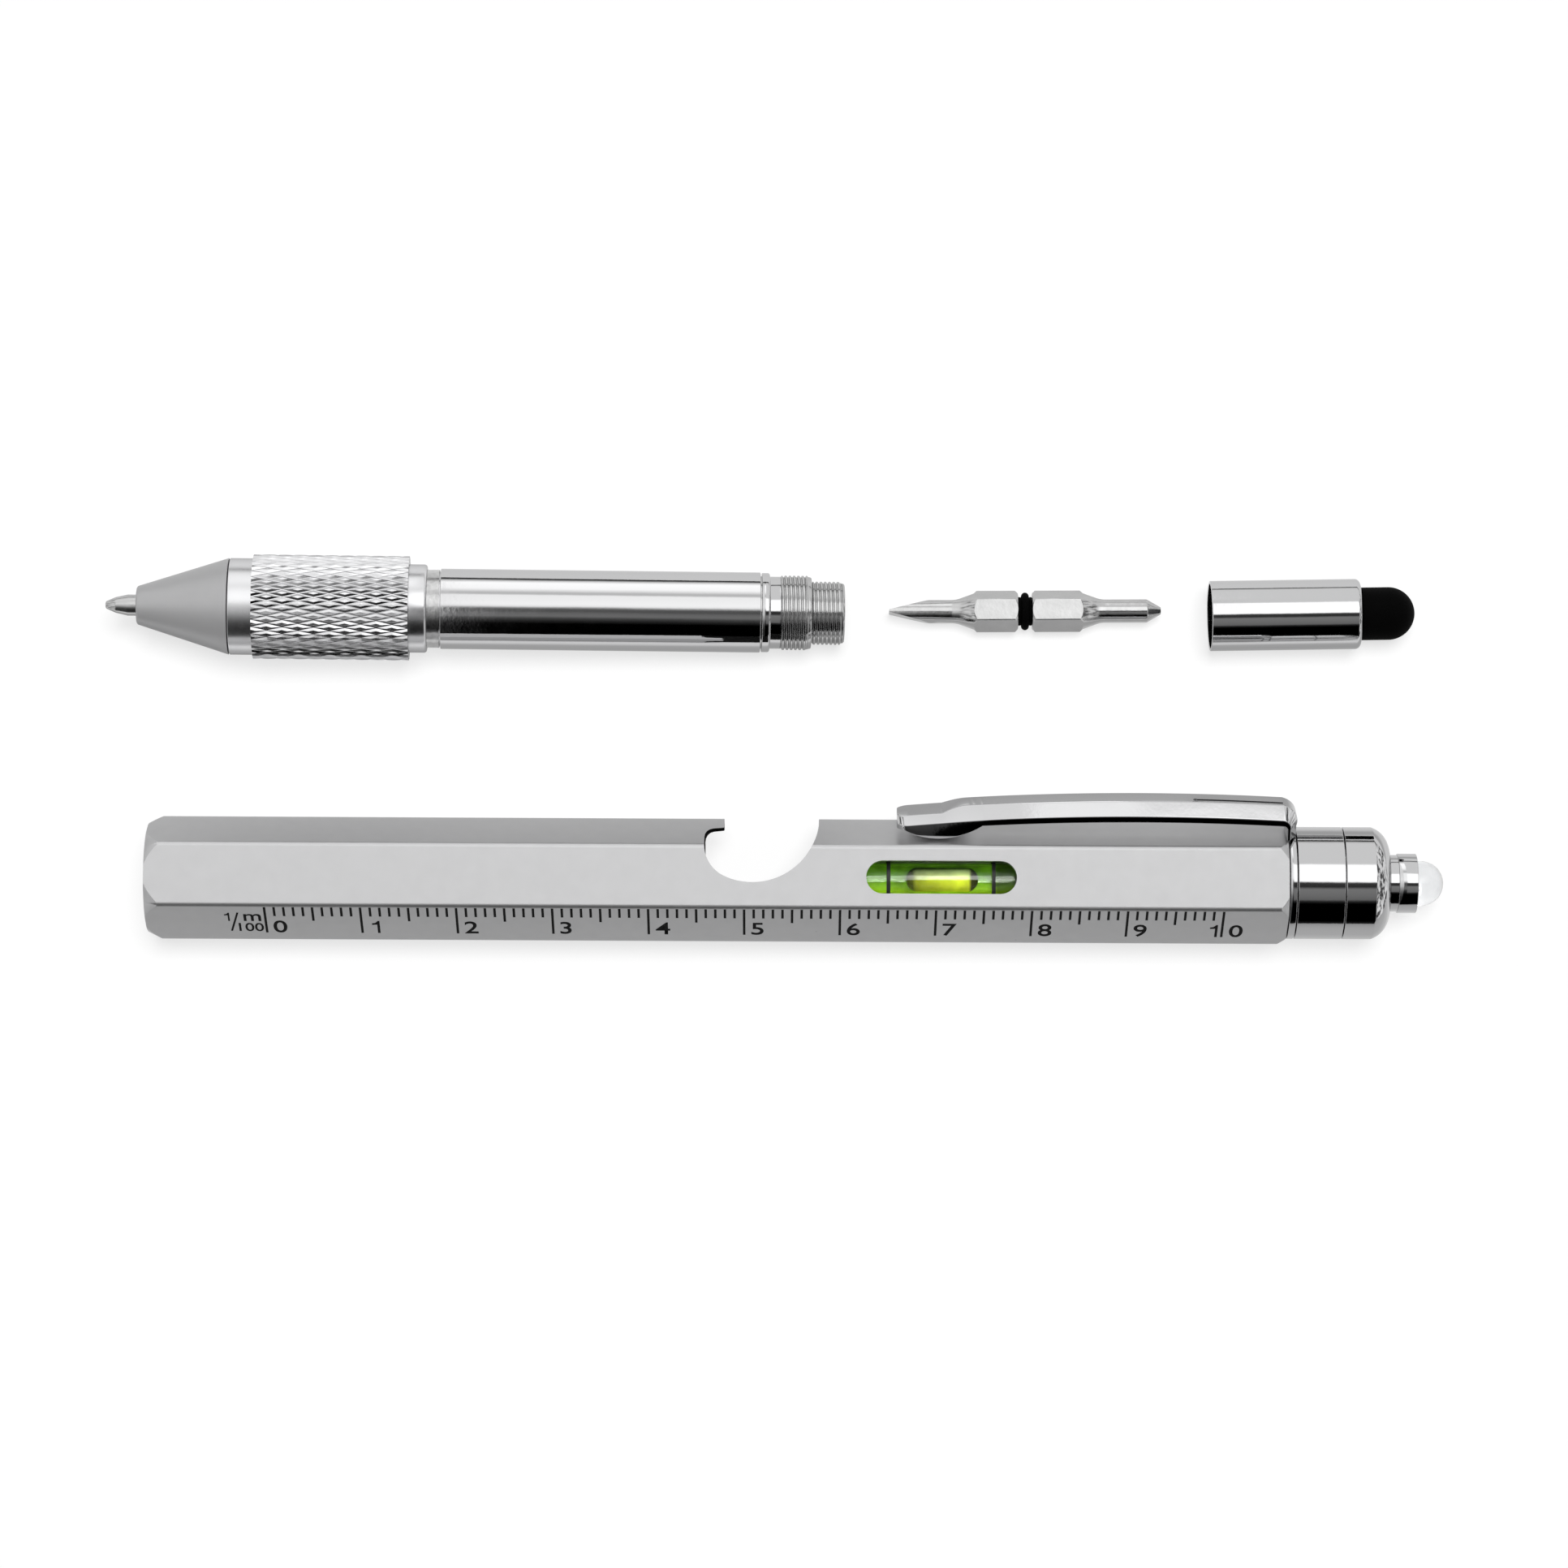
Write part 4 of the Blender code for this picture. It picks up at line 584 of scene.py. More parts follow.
# Finishes
class Graph:
    """A node tree under construction."""

    def __init__(self, owner, clear=False):
        owner.use_nodes = True
        self.nodes = owner.node_tree.nodes
        self.links = owner.node_tree.links
        if clear:
            self.nodes.clear()

    def feed(self, socket, value):
        """Link a socket to an output, or set its value."""
        if isinstance(value, bpy.types.NodeSocket):
            self.links.new(value, socket)
        else:
            socket.default_value = value

    def node(self, kind, inputs=None, **attributes):
        """Add a node with its attributes and with its inputs, each a value or an output."""
        made = self.nodes.new("ShaderNode" + kind)
        for name, value in attributes.items():
            setattr(made, name, value)
        for socket, value in (inputs or {}).items():
            self.feed(made.inputs[socket], value)
        return made

    def out(self, kind, inputs=None, **attributes):
        """The first output of a new node."""
        return self.node(kind, inputs, **attributes).outputs[0]

    def span(self, value, start, end, kind="LINEAR"):
        """A value mapped from start to end onto zero to one."""
        inputs = {"Value": value, "From Min": start, "From Max": end}
        return self.out("MapRange", inputs, interpolation_type=kind)

    def mixed(self, factor, low, high, blend="MIX"):
        """Two colours mixed by a factor."""
        inputs = {0: factor, 6: low, 7: high}
        return self.node("Mix", inputs, data_type="RGBA", blend_type=blend).outputs[2]

    def ramp(self, factor, stops):
        """A ramp over a factor, of (place, grey) or (place, colour) stops."""
        made = self.node("ValToRGB", {"Fac": factor})
        elements = made.color_ramp.elements
        while len(elements) < len(stops):
            elements.new(0.5)
        for element, (place, shade) in zip(elements, stops):
            element.position = place
            element.color = (*shade, 1) if isinstance(shade, tuple) else (shade, shade, shade, 1)
        return made.outputs["Color"]


class Finish(Graph):
    """A node material under construction."""

    def __init__(self, name, base, roughness, metallic):
        self.material = bpy.data.materials.new(name)
        super().__init__(self.material)
        self.shader = self.nodes["Principled BSDF"]
        self.base = getattr(sizes("finishes"), base) if isinstance(base, str) else base
        self.bumps = None
        self.put("Base Color", (*self.base, 1))
        self.put("Roughness", roughness)
        self.put("Metallic", metallic)

    def put(self, socket, value):
        """Feed one of the shader's sockets."""
        self.feed(self.shader.inputs[socket], value)

    def coordinates(self, stretch=(1, 1, 1)):
        """Object coordinates, stretched for grain that runs one way."""
        place = self.node("TexCoord").outputs["Object"]
        return self.out("Mapping", {"Vector": place, "Scale": stretch})

    def noise(self, scale, detail, stretch=(1, 1, 1)):
        """Noise whose scale is in cycles per metre."""
        inputs = {"Vector": self.coordinates(stretch), "Scale": scale, "Detail": detail}
        return self.node("TexNoise", inputs).outputs["Fac"]

    def shade(self, factor, low, high):
        """Vary the base colour between two brightnesses."""
        dark = (*[channel * low for channel in self.base], 1)
        bright = (*[min(1, channel * high) for channel in self.base], 1)
        colour = self.mixed(factor, dark, bright)
        self.put("Base Color", colour)
        return colour

    def roughen(self, factor, low, high):
        """Vary the roughness."""
        self.put("Roughness", self.out("MapRange", {"Value": factor, "To Min": low, "To Max": high}))

    def bump(self, factor, strength, height):
        """Raise the surface by a pattern; the height is in metres."""
        made = self.node("Bump", {"Strength": strength, "Distance": height, "Height": factor})
        if self.bumps:
            self.feed(made.inputs["Normal"], self.bumps)
        self.bumps = made.outputs["Normal"]
        self.put("Normal", self.bumps)


# Finishes that only noise varies. shade and rough: scale, detail, low, high.
# bumps: scale, detail, strength, height, and the stretch of a grain that runs one way.
PATTERNS = {
    # Near black and without gloss, with a blotchy shade, on the upright walls inside the opener notch
    "cut_edge": {
        "base": (0.025, 0.025, 0.025), "roughness": 0.7, "specular": 0.0,
        "shade": (1500, 4, 0.2, 3.0), "bumps": [(2500, 3, 0.5, 0.00002)],
    },
    # Even grey metallic paint, a little finer than the barrel's
    "cone_paint": {
        "base": "cone", "roughness": 0.42, "metallic": 0.55,
        "shade": (500, 3, 0.97, 1.03), "rough": (1500, 2, 0.38, 0.46), "bumps": [(9000, 2, 0.25, 0.00001)],
    },
    # Bright plating over a slightly wavy surface
    "chrome": {
        "base": "chrome", "roughness": 0.05, "metallic": 1.0, "tint": 0.8, "rough": (700, 3, 0.03, 0.08),
        "bumps": [(260, 2, 0.5, 0.00003, (0.4, 1, 1)), (2600, 2, 0.35, 0.000004)],
    },
    # Softer plating with fine tool marks and a mottle
    "nickel": {
        "base": "nickel", "roughness": 0.2, "metallic": 1.0, "tint": 0.7,
        "shade": (700, 4, 0.9, 1.1), "rough": (1600, 3, 0.08, 0.22),
        "bumps": [(1500, 3, 0.6, 0.000016), (5000, 2, 0.4, 0.000006)],
    },
    # A darker, mottled, rough finish for the turned neck behind the collar
    "worn_nickel": {
        "base": (0.5, 0.5, 0.5), "roughness": 0.2, "metallic": 1.0,
        "shade": (1800, 4, 0.7, 1.3), "rough": (2500, 3, 0.12, 0.3), "bumps": [(2000, 3, 0.7, 0.00002)],
    },
    # Bright aluminium with turning marks round the axis
    "turned_aluminium": {
        "base": "aluminium", "roughness": 0.24, "metallic": 1.0, "tint": 0.6,
        "shade": (300, 3, 0.94, 1.04), "rough": (1200, 3, 0.2, 0.3),
        "bumps": [(9000, 2, 0.25, 0.00001, (1, 0.02, 0.02))],
    },
    # The grip's diamonds: the same metal, brighter and smoother on its cut facets
    "knurl_aluminium": {
        "base": "aluminium", "roughness": 0.18, "metallic": 1.0, "tint": 0.6,
        "shade": (700, 3, 0.92, 1.06), "rough": (2500, 3, 0.14, 0.26), "bumps": [(3500, 3, 0.35, 0.00001)],
    },
    # Black print with a slightly uneven film
    "ink": {
        "base": "ink", "roughness": 0.6, "specular": 0.08,
        "shade": (2500, 3, 0.5, 2.2), "rough": (4000, 2, 0.42, 0.6),
    },
    # Soft black rubber with a fine matte skin
    "rubber": {
        "base": "rubber", "roughness": 0.75, "specular": 0.04,
        "shade": (900, 3, 0.7, 1.4), "rough": (5000, 2, 0.65, 0.85), "bumps": [(12000, 2, 0.2, 0.00001)],
    },
    # Moulded plastic with a faint flow pattern
    "white_plastic": {
        "base": "white", "roughness": 0.4,
        "shade": (500, 2, 0.95, 1.05), "rough": (1800, 2, 0.35, 0.48), "bumps": [(6000, 2, 0.15, 0.00001)],
    },
    "black_plastic": {
        "base": (0.01, 0.01, 0.01), "roughness": 0.35,
        "shade": (500, 2, 0.95, 1.05), "rough": (1800, 2, 0.30, 0.43), "bumps": [(6000, 2, 0.15, 0.00001)],
    },
    # Stamped brass
    "brass": {
        "base": "brass", "roughness": 0.3, "metallic": 1.0,
        "shade": (600, 3, 0.9, 1.08), "rough": (1500, 3, 0.24, 0.38),
    },
    # Clear moulded plastic with a faint ripple
    "clear_vial": {
        "base": (0.96, 0.99, 0.93), "roughness": 0.0, "ior": 1.33,
        "rough": (900, 2, 0.0, 0.03), "bumps": [(300, 2, 0.15, 0.00002)],
    },
    "clear_light": {
        "base": (0.97, 0.98, 0.99), "roughness": 0.05, "ior": 1.40,
        "rough": (900, 2, 0.05, 0.08), "bumps": [(300, 2, 0.15, 0.00002)],
    },
}


def patterned(name, base, roughness, metallic=0.0, tint=None, specular=None, ior=None,
              shade=None, rough=None, bumps=()):
    """A finish whose colour, roughness and height only noise varies."""
    made = Finish(name, base, roughness, metallic)
    if tint is not None:
        made.put("Specular Tint", (tint, tint, tint, 1))
    if specular is not None:
        made.put("Specular IOR Level", specular)
    if ior is not None:
        made.put("Transmission Weight", 1.0)
        made.put("IOR", ior)
    if shade:
        made.shade(made.noise(*shade[:2]), *shade[2:])
    if rough:
        made.roughen(made.noise(*rough[:2]), *rough[2:])
    for scale, detail, strength, height, *stretch in bumps:
        made.bump(made.noise(scale, detail, *stretch), strength, height)
    return made.material


def satin_silver():
    """Satin silver with a faint mottle, fine grain and a few tiny specks."""
    made = Finish("satin_silver", "barrel", 0.44, 0.9)
    specks = made.node("TexVoronoi", {"Vector": made.coordinates(), "Scale": 210.0})
    spots = made.ramp(specks.outputs["Distance"], [(0.010, 0.75), (0.022, 1)])
    colour = made.shade(made.noise(700, 4), 0.97, 1.03)
    made.put("Base Color", filtered(made, colour, spots))
    made.roughen(made.noise(900, 3), 0.32, 0.42)
    made.bump(made.noise(7000, 2), 0.3, 0.00001)
    return made.material


def along_axis(made, axis, start, end):
    """Zero to one between two places along an axis."""
    split = made.node("SeparateXYZ", {"Vector": made.coordinates()})
    return made.span(split.outputs[axis], start, end)


def tinted(made, node, stops):
    """Painted light and shade: colour stops across a piece from its near side to its far side."""
    low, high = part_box(node)
    return made.ramp(along_axis(made, "Y", low.y, high.y), stops)


def filtered(made, colour, factor):
    """A colour multiplied by a factor."""
    return made.mixed(1.0, colour, factor, "MULTIPLY")


def lit_from_within(made, colour):
    """Colour a piece and give it a painted glow, standing in for the light that enters the vial's window and
    scatters inside.
    """
    made.put("Base Color", colour)
    # Painted glow: the colour also glows, though the piece is no lamp
    made.put("Emission Color", colour)
    made.put("Emission Strength", 0.45)
    made.put("Specular IOR Level", 0.3)
    made.roughen(made.noise(900, 2), 0.1, 0.2)
    return made.material


def green_liquid():
    """Green liquid with painted light and shade: yellow green with painted light near the front, painted
    shade along its far side and at its right end, and a painted glow.
    """
    made = Finish("green_liquid", "liquid", 0.3, 0.0)
    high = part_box("vial_liquid")[1]
    # Painted light and shade: bright yellow green at the near side to dark green at the far side
    colour = tinted(made, "vial_liquid", [
        (0.0, (0.34, 0.60, 0.014)),
        (0.25, (0.24, 0.46, 0.012)),
        (0.45, (0.13, 0.32, 0.011)),
        (0.65, (0.09, 0.25, 0.008)),
        (0.85, (0.07, 0.20, 0.006)),
        (1.0, (0.04, 0.12, 0.006)),
    ])
    mottle = made.ramp(made.noise(520, 4), [(0.32, 0.5), (0.48, 0.8), (0.7, 1.15)])
    # Painted shade that darkens the liquid towards its right end
    end = made.ramp(along_axis(made, "X", high.x - 0.0027, high.x - 0.0018), [(0.0, 1.0), (1.0, 0.22)])
    return lit_from_within(made, filtered(made, filtered(made, colour, mottle), end))


def bubble_air():
    """The bubble: a lens of air with painted light and shade, yellow at its near side, a pale painted
    highlight in the middle, painted shade at its far side and at both ends, and a painted glow.
    """
    made = Finish("bubble_air", "air", 0.2, 0.0)
    low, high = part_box("vial_bubble")
    # Painted light and shade across the bubble: yellow near side, pale painted highlight in the middle, dark
    # far side
    colour = tinted(made, "vial_bubble", [
        (0.0, (0.40, 0.46, 0.012)),
        (0.25, (0.50, 0.55, 0.015)),
        (0.45, (0.52, 0.60, 0.03)),
        (0.62, (0.42, 0.50, 0.16)),
        (0.80, (0.20, 0.26, 0.10)),
        (0.90, (0.02, 0.05, 0.005)),
        (1.0, (0.01, 0.03, 0.004)),
    ])
    # Painted shade at both ends of the bubble, brighter towards its right end
    rise = made.ramp(along_axis(made, "X", low.x, high.x), [
        (0.0, 0.05), (0.09, 0.12), (0.14, 0.5), (0.45, 0.75),
        (0.70, 1.0), (0.86, 1.1), (0.90, 0.06), (1.0, 0.03),
    ])
    mottle = made.ramp(made.noise(900, 3), [(0.3, 0.75), (0.7, 1.1)])
    return lit_from_within(made, filtered(made, filtered(made, colour, rise), mottle))


SPECIAL = {"satin_silver": satin_silver, "green_liquid": green_liquid, "bubble_air": bubble_air}
MADE = {}


def finish(name):
    """One finish, made once and then shared."""
    if name not in MADE:
        MADE[name] = SPECIAL[name]() if name in SPECIAL else patterned(name, **PATTERNS[name])
    return MADE[name]


# Pieces
def corner_reach(flats):
    """From a hexagon's middle to its corner."""
    return flats / 2 / math.cos(math.pi / 6)


def hexagon(flats, corner_round, steps=6):
    """A hexagon with a corner at +Y and a flat at +Z."""
    corner = corner_reach(flats)
    turns = [math.pi / 3 * i for i in range(6)]
    return filleted([(corner * math.cos(a), corner * math.sin(a), corner_round) for a in turns], steps)


class PEN_OT_barrel(bpy.types.Operator):
    """Model the hexagonal barrel with its bores, opener notch and vial window"""

    bl_idname = "multi_tool_pen.barrel"
    bl_label = "Barrel"

    def execute(self, context):
        s = sizes("barrel")
        low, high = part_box("barrel")
        span = high.x - low.x
        corner = corner_reach(s.flats)
        made = prism("barrel_shell", hexagon(s.flats, s.corner_round), 0, span, "X")
        boolean(made, self.envelope(s, span, corner), "INTERSECT")
        boolean(made, self.front_bore(s))
        boolean(made, self.rear_bore(s, span))
        boolean(made, prism("notch", filleted(self.notch_corners(s, corner)), -corner, corner, "Z"))
        boolean(made, prism("window", self.window_outline(s), 0, corner, "Z"))
        soften(made, s.edge_round)
        settle(made, barrel_axes())
        dress(made, "barrel_group", "barrel_silver", "satin_silver", "barrel")
        middle = barrel_axes().translation.x + s.notch_x
        reach = s.notch_radius * 1.1
        second_finish(made, "cut_edge", lambda face: (
            abs(face.normal.z) < 0.3 and abs(face.center.x - middle) < reach and self.cut_face(face)
        ))
        return {"FINISHED"}

    def cut_face(self, face):
        """Whether an upright face stands inside the notch, not on a long corner."""
        axis = barrel_axes().translation.y
        return abs(face.normal.y) < 0.9 or abs(face.center.y - axis) < NOTCH_WALL_REACH

    def envelope(self, s, span, corner):
        """Both turned ends, a little rounded."""
        far = corner + OVERRUN
        slope = (corner - s.front_radius) / s.front_chamfer
        rear_slope = (corner - s.rear_radius) / s.rear_chamfer
        corners = [
            (-OVERRUN, 0, 0),
            (-OVERRUN, s.front_radius - slope * OVERRUN, 0),
            (s.front_chamfer + OVERRUN, corner + slope * OVERRUN, 0),
            (s.front_chamfer + OVERRUN, far, 0),
            (span - s.rear_chamfer - OVERRUN, far, 0),
            (span - s.rear_chamfer - OVERRUN, corner + rear_slope * OVERRUN, 0),
            (span + OVERRUN, s.rear_radius - rear_slope * OVERRUN, 0),
            (span + OVERRUN, 0, 0),
        ]
        return lathe("envelope", corners)

    def front_bore(self, s):
        """The open bore with its counterbore."""
        corners = [
            (-OVERRUN, 0, 0),
            (-OVERRUN, s.mouth_radius, 0),
            (s.mouth_depth, s.mouth_radius, 0),
            (s.mouth_depth, s.bore_radius, 0),
            (s.bulkhead_start, s.bore_radius, 0),
            (s.bulkhead_start, 0, 0),
        ]
        return lathe("front_bore", corners)

    def rear_bore(self, s, span):
        """The bore that holds the vial and the torch."""
        start, end, radius = s.bulkhead_end, span + OVERRUN, s.bore_radius
        return lathe("rear_bore", [(start, 0, 0), (start, radius, 0), (end, radius, 0), (end, 0, 0)])

    def notch_corners(self, s, corner):
        """The sweep, the claw and the lip of the bottle opener."""
        sweep_y = s.notch_radius - s.notch_past_axis
        reach = s.notch_radius - s.claw_radius
        turn = math.radians(s.claw_angle)
        claw_x = s.notch_x + reach * math.cos(turn)
        claw_y = sweep_y + reach * math.sin(turn)
        left = claw_x - s.claw_radius
        tip = corner - s.corner_round * (1 / math.cos(math.pi / 6) - 1)
        lip_y = tip - s.lip_drop
        outside = corner + OVERRUN
        corners = [(s.notch_x + s.notch_radius, outside, 0)]
        corners += arc(s.notch_x, sweep_y, s.notch_radius, 360, s.claw_angle, 40)
        corners += arc(claw_x, claw_y, s.claw_radius, s.claw_angle, 180, 20)[1:]
        corners += [
            (left, lip_y, s.lip_round),
            (left + s.lip_reach, lip_y + s.lip_rise, s.lip_rise / 2),
            (left + s.lip_reach, outside, 0),
        ]
        return corners

    def window_outline(self, s):
        """A slot with round ends over the liquid."""
        low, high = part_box("vial_liquid")
        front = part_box("barrel")[0].x
        half = s.window_width / 2
        left = low.x - front
        right = high.x - front
        corners = arc(right - half, 0, half, -90, 90, 16) + arc(left + half, 0, half, 90, 270, 16)
        return [(x, y) for x, y, _ in corners]


class PEN_OT_ruler(bpy.types.Operator):
    """Print the ruler's marks and figures on the lower front face"""

    bl_idname = "multi_tool_pen.ruler"
    bl_label = "Ruler print"

    def execute(self, context):
        s = sizes("ruler")
        flats = sizes("barrel").flats
        side = flats / 2 * math.tan(math.pi / 6)
        self.top = side - s.start
        self.bottom = self.top - s.long_mark
        printed = [self.mark(s, step) for step in range(101)]
        for centimetre in range(10):
            x = s.zero_x + centimetre * 0.01 + s.digit_gap
            if centimetre == 1:
                printed.append(self.one(x + s.digit_gap * 0.45, self.bottom, s.digit_height, s))
                continue
            printed.append(self.figure(str(centimetre), x, self.bottom, s.digit_height, s))
        ten = s.zero_x + 0.1
        printed.append(self.one(ten - 0.00128, self.bottom, s.digit_height, s))
        printed.append(self.figure("0", ten + s.digit_gap, self.bottom, s.digit_height, s))
        printed += self.unit_mark(s)
        made = join("ruler_print", printed)
        normal = Vector((0, -math.cos(math.pi / 6), math.sin(math.pi / 6)))
        up = Vector((0, math.sin(math.pi / 6), math.cos(math.pi / 6)))
        face = Matrix((Vector((1, 0, 0)), up, normal)).transposed().to_4x4()
        face.translation = barrel_axes().translation + normal * (flats / 2)
        settle(made, face)
        dress(made, "barrel_group", "black_plastic", "ink")
        return {"FINISHED"}

    def bar(self, x, y, width, height, s):
        """A printed bar with its lower left corner at a place on the face."""
        outline = [(x, y), (x + width, y), (x + width, y + height), (x, y + height)]
        return prism("bar", outline, -s.film, s.film, "Z")

    def mark(self, s, step):
        """One mark of the scale."""
        reach = s.short_mark
        if step % 5 == 0:
            reach = s.middle_mark
        if step % 10 == 0:
            reach = s.long_mark
        x = s.zero_x + step * 0.001 - s.stroke / 2
        return self.bar(x, self.top - reach, s.stroke, reach, s)

    def figure(self, text, x, y, height, s, wide=1):
        """A figure drawn to a height, a little thickened, as a thin film; a nine is a six turned round."""
        fresh()
        bpy.ops.object.text_add()
        made = bpy.context.object
        made.data.body = "6" if text == "9" else text
        made.data.extrude = 0.01
        made.data.offset = s.weight
        bpy.ops.object.convert(target="MESH")
        if text == "9":
            made.data.transform(Matrix.Rotation(math.pi, 4, "Z"))
        corners = [vertex.co for vertex in made.data.vertices]
        low = Vector([min(corner[axis] for corner in corners) for axis in range(3)])
        high = Vector([max(corner[axis] for corner in corners) for axis in range(3)])
        tall = height / (high.y - low.y)
        grow = Matrix.Diagonal((tall * s.stretch * wide, tall, s.film / high.z, 1))
        made.data.transform(Matrix.Translation((x, y, 0)) @ grow @ Matrix.Translation((-low.x, -low.y, 0)))
        return made

    def one(self, x, y, height, s):
        """A one with a flag, which the plain typeface draws too small."""
        wide = height * 0.36
        stem = wide - s.stroke * height / 0.00225 * 1.05
        outline = [
            (stem, 0),
            (wide, 0),
            (wide, height),
            (wide - stem * 0.35, height),
            (stem * 0.7, height * 0.84),
            (0, height * 0.79),
            (0, height * 0.68),
            (stem, height * 0.70),
        ]
        return prism("one", [(x + along, y + up) for along, up in outline], -s.film, s.film, "Z")

    def unit_mark(self, s):
        """The generic one over one hundred metre sign, left of the 0."""
        small = s.digit_height * 0.68
        left = s.zero_x - 0.00328
        base = self.bottom + small * 0.15
        upper = base + small * 1.25
        slash = self.bar(0, 0, s.stroke * 0.8, small * 2.3, s)
        lean = Matrix.Rotation(-0.24, 4, "Z")
        slash.data.transform(Matrix.Translation((left - 0.0005, base + small * 0.05, 0)) @ lean)
        return [
            self.figure("100", left + 0.0004, base, small, s, 0.95),
            self.figure("m", left + 0.0010, upper, small * 0.85, s),
            self.one(left - 0.0010, upper, small, s),
            slash,
        ]


class PEN_OT_vial(bpy.types.Operator):
    """Model the spirit vial: body, plug, liquid, bubble and marking rings"""

    bl_idname = "multi_tool_pen.vial"
    bl_label = "Spirit vial"

    def execute(self, context):
        s = sizes("vial")
        low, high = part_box("vial_tube")
        span = high.x - low.x
        middle = (low + high) / 2
        axes = Matrix.Translation((low.x, middle.y, middle.z))
        bore = s.radius - s.wall
        fillet = s.wall / 4
        clear = ("barrel_group", "clear_acrylic", "clear_vial")
        body = [
            (0, 0, 0),
            (0, s.radius, fillet),
            (span, s.radius, fillet),
            (span, bore, 0),
            (s.end, bore, fillet),
            (s.end, 0, 0),
        ]
        turned("vial_body", body, axes, *clear, "vial_tube", turns=SMALL_TURN)
        plug = [(span - s.plug, 0, 0), (span - s.plug, bore - s.gap, fillet)]
        plug += [(span, bore - s.gap, fillet), (span, 0, 0)]
        turned("vial_stopper", plug, axes, *clear, "vial_plug", turns=SMALL_TURN)
        self.liquid(s, axes, span, bore)
        self.bubble(s)
        for side in ("front", "rear"):
            self.ring(s, side)
        return {"FINISHED"}

    def liquid(self, s, axes, span, bore):
        """The liquid, open along its top where the bubble runs."""
        start = s.end + s.gap
        end = span - s.plug - s.gap
        fill = [(start, 0, 0), (start, bore - s.gap, s.gap), (end, bore - s.gap, s.gap), (end, 0, 0)]
        made = lathe("vial_filling", fill, SMALL_TURN)
        low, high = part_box("vial_bubble")
        lift = (low.z + high.z) / 2 - axes.translation.z
        room = s.bubble_radius + s.gap
        run = arc(0, lift, room, 0, -180, 20) + [(-room, bore + OVERRUN, 0), (room, bore + OVERRUN, 0)]
        boolean(made, prism("bubble_run", [(y, z) for y, z, _ in run], 0, span, "X"))
        settle(made, axes)
        dress(made, "barrel_group", "green_liquid", "green_liquid", "vial_liquid")

    def bubble(self, s):
        """The bubble, long with round ends."""
        low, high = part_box("vial_bubble")
        middle = (low + high) / 2
        radius = s.bubble_radius
        half = s.bubble_length / 2
        outline = arc(-half + radius, 0, radius, 180, 90, 10) + arc(half - radius, 0, radius, 90, 0, 10)
        outline[0] = (-half, 0, 0)
        outline[-1] = (half, 0, 0)
        axes = Matrix.Translation(middle)
        air = "bubble_air"
        turned("air_bubble", outline, axes, "bubble", air, air, "vial_bubble", turns=SMALL_TURN)

    def ring(self, s, side):
        """A black ring round the vial."""
        low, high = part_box("vial_ring_" + side)
        middle = (low + high) / 2
        outer = (high.y - low.y) / 2
        inner = s.radius + s.gap / 4
        half = s.ring_width / 2
        corners = [(-half, inner, 0), (-half, outer, s.gap / 4), (half, outer, s.gap / 4), (half, inner, 0)]
        name = side + "_marking_ring"
        node = "vial_ring_" + side
        black = "black_plastic"
        axes = Matrix.Translation(middle)
        turned(name, corners, axes, "barrel_group", black, black, node, turns=SMALL_TURN)


